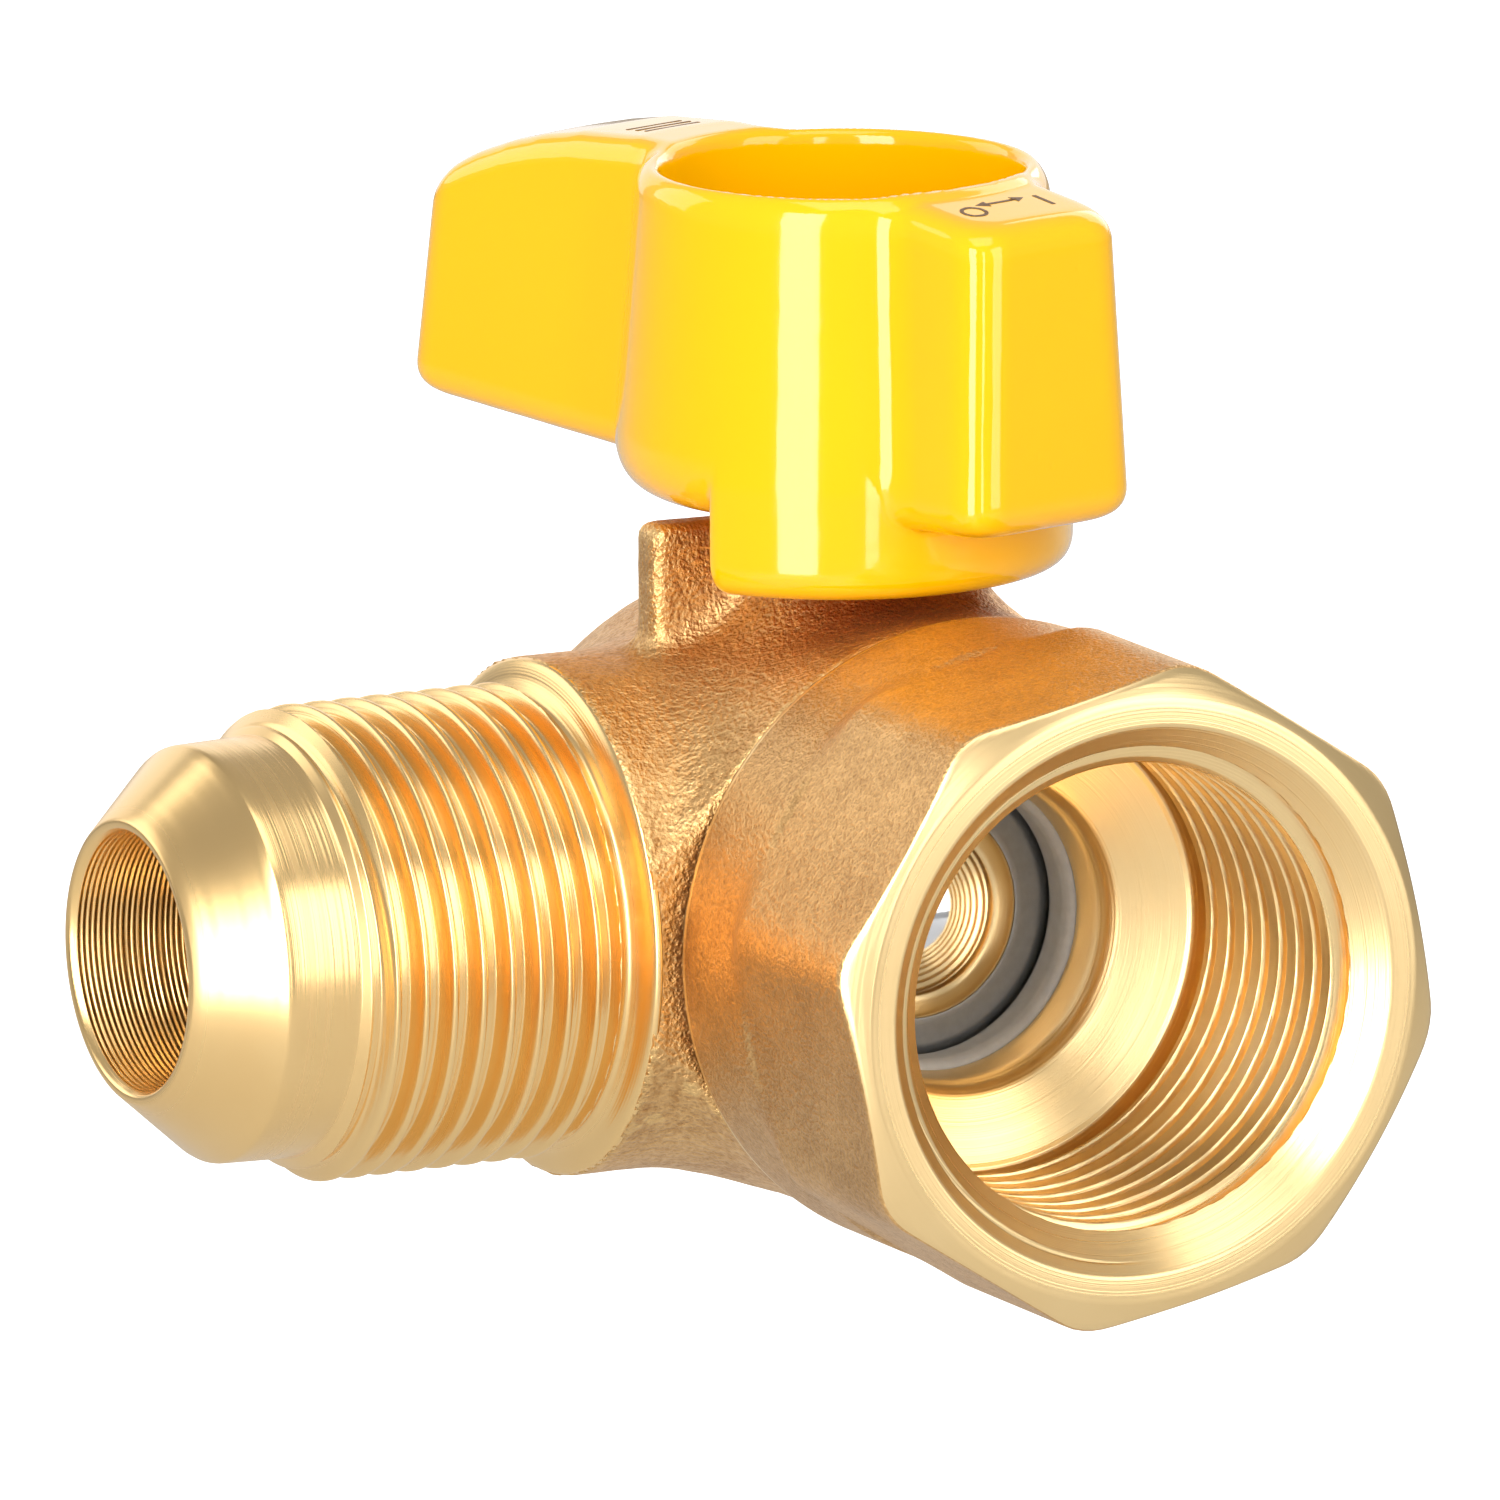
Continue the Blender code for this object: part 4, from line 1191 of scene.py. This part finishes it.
@dataclass
class BallAndSeats:
    """The chromed ball and the grey seat rings on either side of it."""

    ball_r: float = 10.8
    port_r: float = 5.75
    slot_half: float = 1.6
    slot_floor: float = 7.8
    seat_outline: tuple[tuple[float, float], ...] = (
        (10.55, 8.4), (9.4, 8.45), (9.4, 10.1), (4.46, 10.1), (5.46, 9.6), (6.6, 8.86), (7.6, 8.02),
        (8.2, 7.42), (8.45, 7.13), (9.9, 7.1), (10.35, 7.2), (10.55, 7.5), (10.55, 8.4),
    )  # fmt: skip

    def build(self, lathe: Lathe, paints: Paintbox) -> None:
        """Make the ball and its seats."""
        self._ball(paints)
        rows = rings(rounded(self.seat_outline, 0.12), 0.4)
        tilt = Matrix.Rotation(math.radians(90.0), 4, "X")
        for name, turn in (("front", 0.0), ("rear", 180.0)):
            seat = lathe.spin(f"{name}_seat_ring", rows, Axis.STEM, (paints["ptfe"],) * 2, steps=160)
            side = Matrix.Rotation(math.radians(turn), 4, "Z")
            seat.data.transform(BALL_CENTRE @ side @ tilt @ BALL_CENTRE.inverted())
            dressed(seat, Body.VALVE, (f"{name}_seat",))

    def _ball(self, paints: Paintbox) -> None:
        """Make the ball with its right-angle passage and the slot for the stem."""
        shape = bmesh.new()
        bmesh.ops.create_uvsphere(shape, u_segments=160, v_segments=96, radius=self.ball_r * MM)
        ball = linked("ball_turned", mesh_of(shape, "ball_turned"))
        ports = [self._rod(Matrix.Rotation(math.radians(-90.0), 4, axis)) for axis in "YX"]
        cutters = [*ports, self._slot()]
        for cutter in cutters:
            cut = ball.modifiers.new(cutter.name, "BOOLEAN")
            cut.operation, cut.solver, cut.object = "DIFFERENCE", "MANIFOLD", cutter
        bpy.context.view_layer.update()
        graph = bpy.context.evaluated_depsgraph_get()
        cut_mesh = bpy.data.meshes.new_from_object(ball.evaluated_get(graph))
        for helper in (ball, *cutters):
            bpy.data.objects.remove(helper)
        cut_mesh.transform(AT_REST)
        dressed(shown("chromed_ball", cut_mesh), Body.BALL, ("ball",), paints["chrome"])

    def _rod(self, way: Matrix) -> bpy.types.Object:
        """Return a rod from the ball's centre out along a turned Z."""
        shape = bmesh.new()
        size = self.port_r * MM
        depth = (self.ball_r + 2.0) * MM
        bmesh.ops.create_cone(shape, cap_ends=True, segments=96, radius1=size, radius2=size, depth=depth)
        bmesh.ops.translate(shape, verts=shape.verts, vec=(0.0, 0.0, depth / 2.0 - 0.4 * size))
        bmesh.ops.transform(shape, verts=shape.verts, matrix=way)
        return linked("port", mesh_of(shape, "port"))

    def _slot(self) -> bpy.types.Object:
        """Return the box that cuts the stem's slot."""
        shape = bmesh.new()
        bmesh.ops.create_cube(shape, size=1.0)
        height = self.ball_r + 1.0 - self.slot_floor
        for vert in shape.verts:
            vert.co.x *= 2.0 * self.slot_half * MM
            vert.co.y *= 2.2 * self.ball_r * MM
            vert.co.z = (self.slot_floor + height * (vert.co.z + 0.5)) * MM
        return linked("slot", mesh_of(shape, "slot"))


@dataclass
class StemFixings:
    """What fixes the lever on the stem, deep in its cup: stem end, lock washer and hexagon nut."""

    nut_half: float = 5.0
    nut_low: float = 27.8
    nut_high: float = 31.0
    nut_bore_r: float = 3.0
    nut_slope: float = 28.0
    stem_top: float = 31.6
    tip_r: float = 2.3
    drive_low: float = 20.91
    drive_half: float = 2.6
    stem_outline: tuple[tuple[float, float], ...] = (
        (11.4, 0.02), (11.4, 5.0), (12.9, 5.0), (12.9, 3.6), (15.6, 3.6), (15.6, 2.5),
        (17.0, 2.5), (17.0, 3.6), (18.2, 3.6), (18.2, 2.5), (19.6, 2.5), (19.6, 3.6),
        (20.9, 3.6), (20.9, 3.4), (26.0, 3.4), (26.0, 2.9),
    )  # fmt: skip
    washer_outline: tuple[tuple[float, float], ...] = (
        (26.8, 3.2), (27.5, 3.2), (27.5, 5.2), (26.8, 5.2), (26.8, 3.2),
    )  # fmt: skip
    thread: Thread = field(default_factory=lambda: Thread(1.0, 2.9, 2.35, 0.2, 0.86, 0.0, 0.0, 0.3, 0.0))

    def build(self, lathe: Lathe, paints: Paintbox) -> None:
        """Make the stem, the washer and the nut."""
        centre_r = self.stem_outline[0][1]
        low = self.stem_outline[-1]
        tip, centre = (self.stem_top, self.tip_r), (self.stem_top, centre_r)
        rows = rings(rounded(self.stem_outline, 0.15), 0.8)
        rows += rings([low, (self.stem_top - 0.5, low[1]), tip], 0.08, threaded=1.0)
        rows += [*rings([tip, centre], 0.8), Ring(*centre)]
        piece = lathe.spin(
            "stem_turned", rows, Axis.STEM, (paints["stem_turned"],) * 2, self.thread, 96, turn=REST_ANGLE
        )
        self._flats(piece)
        dressed(piece, Body.HANDLE, ("stem",))
        washer = rings(rounded(self.washer_outline, 0.12), 0.5)
        plated = (paints["plated"],) * 2
        piece = lathe.spin("lock_washer", washer, Axis.STEM, plated, steps=96)
        dressed(piece, Body.HANDLE, ("handle_lock_washer",))
        self._nut(lathe, plated)

    def _flats(self, piece: bpy.types.Object) -> None:
        """Press the drive's two sides flat, as the lever's double-D hole needs."""
        back = AT_REST.inverted()
        half = self.drive_half * MM
        for vert in piece.data.vertices:
            point = back @ vert.co
            if point.z > self.drive_low * MM:
                point.x = max(-half, min(half, point.x))
                vert.co = AT_REST @ point

    def _nut(self, lathe: Lathe, finishes: tuple[bpy.types.Material, bpy.types.Material]) -> None:
        """Make the nut, its corners turned down on both faces."""
        steps = 144
        off = np.radians((np.degrees(np.arange(steps) * math.tau / steps) + 30.0) % 60.0 - 30.0)
        hexagon = self.nut_half / np.cos(off)
        low, high, middle = self.nut_low, self.nut_high, (self.nut_low + self.nut_high) / 2.0
        drop = (hexagon - self.nut_half * 0.96) * math.tan(math.radians(self.nut_slope))
        face_r = self.nut_half * 0.95
        rows = [Ring(low, self.nut_bore_r), Ring(high, self.nut_bore_r), Ring(high, self.nut_half * 0.6)]
        rows += [Ring(high, face_r), Ring(high - drop, hexagon), Ring(middle, hexagon)]
        rows += [Ring(low + drop, hexagon), Ring(low, face_r)]
        nut = lathe.spin("handle_nut_hexagon", rows, Axis.STEM, finishes, steps=steps, turn=REST_ANGLE)
        dressed(nut, Body.HANDLE, ("handle_nut",))


@dataclass
class Lever:
    """The yellow lever and the marks printed on both its wings."""

    shape: HandleShape = field(default_factory=HandleShape)
    mark_lift: float = 0.03
    mark_sink: float = -0.05
    mark_reach: float = 12.3
    sign_x: float = 2.35
    ring_r: float = 0.62
    line: float = 0.2
    bar_line: float = 0.24
    bar_half: float = 0.75
    head_length: float = 0.75
    head_half: float = 0.36
    rear_half: float = 1.8
    rear_reaches: tuple[float, ...] = (12.6, 13.3, 14.0)

    def build(self, paints: Paintbox) -> None:
        """Make the lever and its marks."""
        place = Axis.STEM.matrix(REST_ANGLE)
        lever = shown("lever", self.shape.mesh("lever", place), LEVER_SHARP_ANGLE)
        dressed(lever, Body.HANDLE, ("handle",), paints["paint"])
        marks = shown("lever_marks", self._marks(place))
        dressed(marks, Body.HANDLE, (), paints["ink"])

    def _marks(self, place: Matrix) -> bpy.types.Mesh:
        """Return a ring, an arrow and a bar on the short wing, and three bars on the long one."""
        shape = bmesh.new()
        centre = np.array([-self.sign_x, -self.mark_reach])
        circle = np.linspace(0.0, math.tau, 41)
        ring = centre + self.ring_r * np.stack([np.cos(circle), np.sin(circle)], -1)
        self._ribbon(shape, ring, self.line)
        bar = [[self.sign_x, -self.mark_reach + end] for end in (-self.bar_half, self.bar_half)]
        self._ribbon(shape, np.array(bar), self.bar_line)
        sweep = np.radians(np.linspace(-98.0, -82.0, 13))
        bow = np.stack([np.cos(sweep), np.sin(sweep)], -1) * (self.mark_reach - 0.6)
        self._ribbon(shape, bow[2:-2], self.line)
        for tip, base in ((bow[0], bow[3]), (bow[-1], bow[-4])):
            way = (tip - base) / np.linalg.norm(tip - base)
            side = np.array([-way[1], way[0]]) * self.head_half
            heel = tip - way * self.head_length
            self._plate(shape, [tip, heel + side, heel - side])
        for reach in self.rear_reaches:
            self._ribbon(shape, np.array([[-self.rear_half, reach], [self.rear_half, reach]]), self.line)
        mesh = mesh_of(shape, "lever_marks")
        mesh.transform(place)
        return mesh

    def _ribbon(self, shape: bmesh.types.BMesh, path: Array, width: float) -> None:
        """Lay a printed line of this width along a path on a wing's top."""
        way = np.gradient(path, axis=0)
        way /= np.linalg.norm(way, axis=1)[:, None]
        side = np.stack([-way[:, 1], way[:, 0]], -1) * width / 2.0
        right, left = path - side, path + side
        for i in range(len(path) - 1):
            self._plate(shape, [right[i], right[i + 1], left[i + 1], left[i]])

    def _plate(self, shape: bmesh.types.BMesh, outline: list[Array]) -> None:
        """Lay a thin closed plate of ink with this outline on a wing's top."""
        rim = []
        for x, y in outline:
            height = self._top(float(x), float(y))
            lifts = (self.mark_sink, self.mark_lift)
            rim.append([shape.verts.new((x, y, height + lift)) for lift in lifts])
        shape.faces.new([pair[1] for pair in rim])
        shape.faces.new([pair[0] for pair in reversed(rim)])
        for (low, high), (next_low, next_high) in zip(rim, rim[1:] + rim[:1]):
            shape.faces.new([low, next_low, next_high, high])

    def _top(self, x: float, y: float) -> float:
        """Return the height of the lever's upper surface over a point of its own plan."""
        heights = np.linspace(34.0, 37.2, 161)
        column = np.stack([np.full_like(heights, x), np.full_like(heights, y), heights], -1)
        return float(heights[self.shape.distance(column) < 0.0].max())


@dataclass
class HiddenPieces:
    """The CAD nodes that stay as they are inside the valve and only take their finish."""

    finishes: dict[str, str] = field(
        default_factory=lambda: {
            "front_seat_o_ring": "rubber",
            "rear_seat_o_ring": "rubber",
            "stem_o_ring_lower": "rubber",
            "stem_o_ring_upper": "rubber",
            "stem_thrust_washer": "ptfe",
        }
    )

    def build(self, paints: Paintbox) -> None:
        """Dress each CAD node."""
        for name, key in self.finishes.items():
            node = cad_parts[name]
            for slot in node.material_slots:
                slot.material = paints[key]
            if not node.material_slots:
                node.data.materials.append(paints[key])
            LOG.info("%s keeps its CAD mesh in %s", name, key)


# ---------------------------------------------------------------- studio


def outward(azimuth: float, elevation: float) -> Vector:
    """Return the direction from the valve towards a light or a camera, from angles in degrees."""
    around, above = math.radians(azimuth), math.radians(elevation)
    level = math.cos(above)
    return Vector((math.sin(around) * level, -math.cos(around) * level, math.sin(above)))


@dataclass(frozen=True)
class Softbox:
    """A rectangular light that faces the ball's centre."""

    name: str
    azimuth: float
    elevation: float
    distance: float
    width: float
    height: float
    radiance: float

    def build(self, target: Vector) -> None:
        """Hang the light.

        Args:
            target: the point it faces.
        """
        light = bpy.data.lights.new(self.name, "AREA")
        light.shape = "RECTANGLE"
        light.size, light.size_y = self.width, self.height
        light.energy = self.radiance * math.pi * self.width * self.height
        piece = linked(self.name, light)
        away = outward(self.azimuth, self.elevation)
        piece.location = target + away * self.distance
        piece.rotation_euler = (-away).to_track_quat("-Z", "Y").to_euler()
        piece.visible_camera = False


@dataclass
class Studio:
    """Pale floor, soft lights and the camera."""

    azimuth: float = -27.166
    elevation: float = 11.775
    roll: float = -0.236
    distance: float = 1701.93
    target: tuple[float, float, float] = (-5.862, 31.073, 7.572)
    focal_px: float = 34085.0
    image_px: float = 1500.0
    floor_z: float = -0.11
    floor_reach: float = 12.0
    floor_glow: float = 0.08
    ambient: float = 0.47
    reflected: float = 0.42
    boxes: tuple[Softbox, ...] = (
        Softbox("key_left", -50.0, 15.0, 0.42, 0.16, 0.47, 6.8),
        Softbox("key_right", 27.0, 16.0, 0.6, 0.24, 0.5, 2.7),
        Softbox("strip", -13.0, 12.0, 0.6, 0.07, 0.5, 4.5),
        Softbox("top", -10.0, 72.0, 0.7, 0.5, 0.4, 1.8),
        Softbox("rear_left", -140.0, 25.0, 0.8, 0.5, 0.5, 1.5),
        Softbox("rear_right", 120.0, 25.0, 0.8, 0.5, 0.5, 1.5),
        Softbox("backdrop", 153.0, 14.0, 1.0, 1.5, 0.6, 0.7),
    )

    def build(self) -> None:
        """Set the floor, the lights, the world and the camera."""
        self._floor()
        self._world()
        centre = Vector((0.0, BALL_Y * MM, 0.0))
        for box in self.boxes:
            box.build(centre)
        self._camera()

    def _camera(self) -> None:
        """Place the camera on its line of sight, turned by its roll."""
        roll = math.radians(self.roll)
        back = outward(self.azimuth, self.elevation)
        right = (-back).cross(Vector((0.0, 0.0, 1.0))).normalized()
        up = right.cross(-back)
        right, up = right * math.cos(roll) + up * math.sin(roll), up * math.cos(roll) - right * math.sin(roll)
        lens = bpy.data.cameras.new("camera")
        lens.sensor_width = 36.0
        lens.lens = self.focal_px / self.image_px * lens.sensor_width
        lens.clip_start, lens.clip_end = 0.1, 20.0
        camera = linked("camera", lens)
        place = Matrix((right, up, back)).transposed().to_4x4()
        place.translation = Vector(self.target) * MM + back * self.distance * MM
        camera.matrix_world = place
        bpy.context.scene.camera = camera

    def _world(self) -> None:
        """Fill the room with even white light."""
        world = bpy.data.worlds.new("tent")
        world.use_nodes = True
        graph = Graph(world.node_tree)
        background = world.node_tree.nodes["Background"]
        background.inputs["Color"].default_value = (1.0, 1.0, 1.0, 1.0)
        rays = graph.add("ShaderNodeLightPath").outputs
        strength = graph.math("MULTIPLY_ADD", rays["Is Camera Ray"], 1.0 - self.ambient, self.ambient)
        change = self.reflected - self.ambient
        strength = graph.math("MULTIPLY_ADD", rays["Is Glossy Ray"], change, strength)
        graph.feed(background.inputs["Strength"], strength)
        bpy.context.scene.world = world
        bpy.context.scene.view_settings.view_transform = "Standard"

    def _floor(self) -> None:
        """Lay the pale floor under the valve."""
        mesh = bpy.data.meshes.new("floor")
        reach = self.floor_reach
        corners = [(-reach, -reach), (reach, -reach), (reach, reach), (-reach, reach)]
        mesh.from_pydata([(x, y, self.floor_z) for x, y in corners], [], [(0, 1, 2, 3)])
        pale = bpy.data.materials.new("pale_floor")
        pale.use_nodes = True
        shader = pale.node_tree.nodes["Principled BSDF"]
        shader.inputs["Base Color"].default_value = (0.5, 0.5, 0.5, 1.0)
        shader.inputs["Roughness"].default_value = 0.9
        shader.inputs["Specular IOR Level"].default_value = 0.0
        shader.inputs["Emission Color"].default_value = (1.0, 1.0, 1.0, 1.0)
        graph = Graph(pale.node_tree)
        seen = graph.add("ShaderNodeLightPath").outputs["Is Camera Ray"]
        glow = graph.math("MULTIPLY_ADD", seen, 1.0, self.floor_glow)
        graph.feed(shader.inputs["Emission Strength"], glow)
        mesh.materials.append(pale)
        linked("floor", mesh)


def main() -> None:
    """Build the valve piece by piece."""
    logging.basicConfig(level=logging.INFO, format="%(name)s: %(message)s")
    paints = Paintbox()
    lathe = Lathe(SpinTree())
    Studio().build()
    forging = shown("forged_body", ForgedBody().mesh("forged_body", Matrix.Scale(MM, 4)))
    dressed(forging, Body.VALVE, ("valve_body",), paints["forged"])
    FlareEnd().build(lathe, paints)
    EndAdapter().build(lathe, paints)
    BallAndSeats().build(lathe, paints)
    StemFixings().build(lathe, paints)
    Lever().build(paints)
    HiddenPieces().build(paints)
    bpy.context.view_layer.update()


if __name__ == "__main__":
    main()
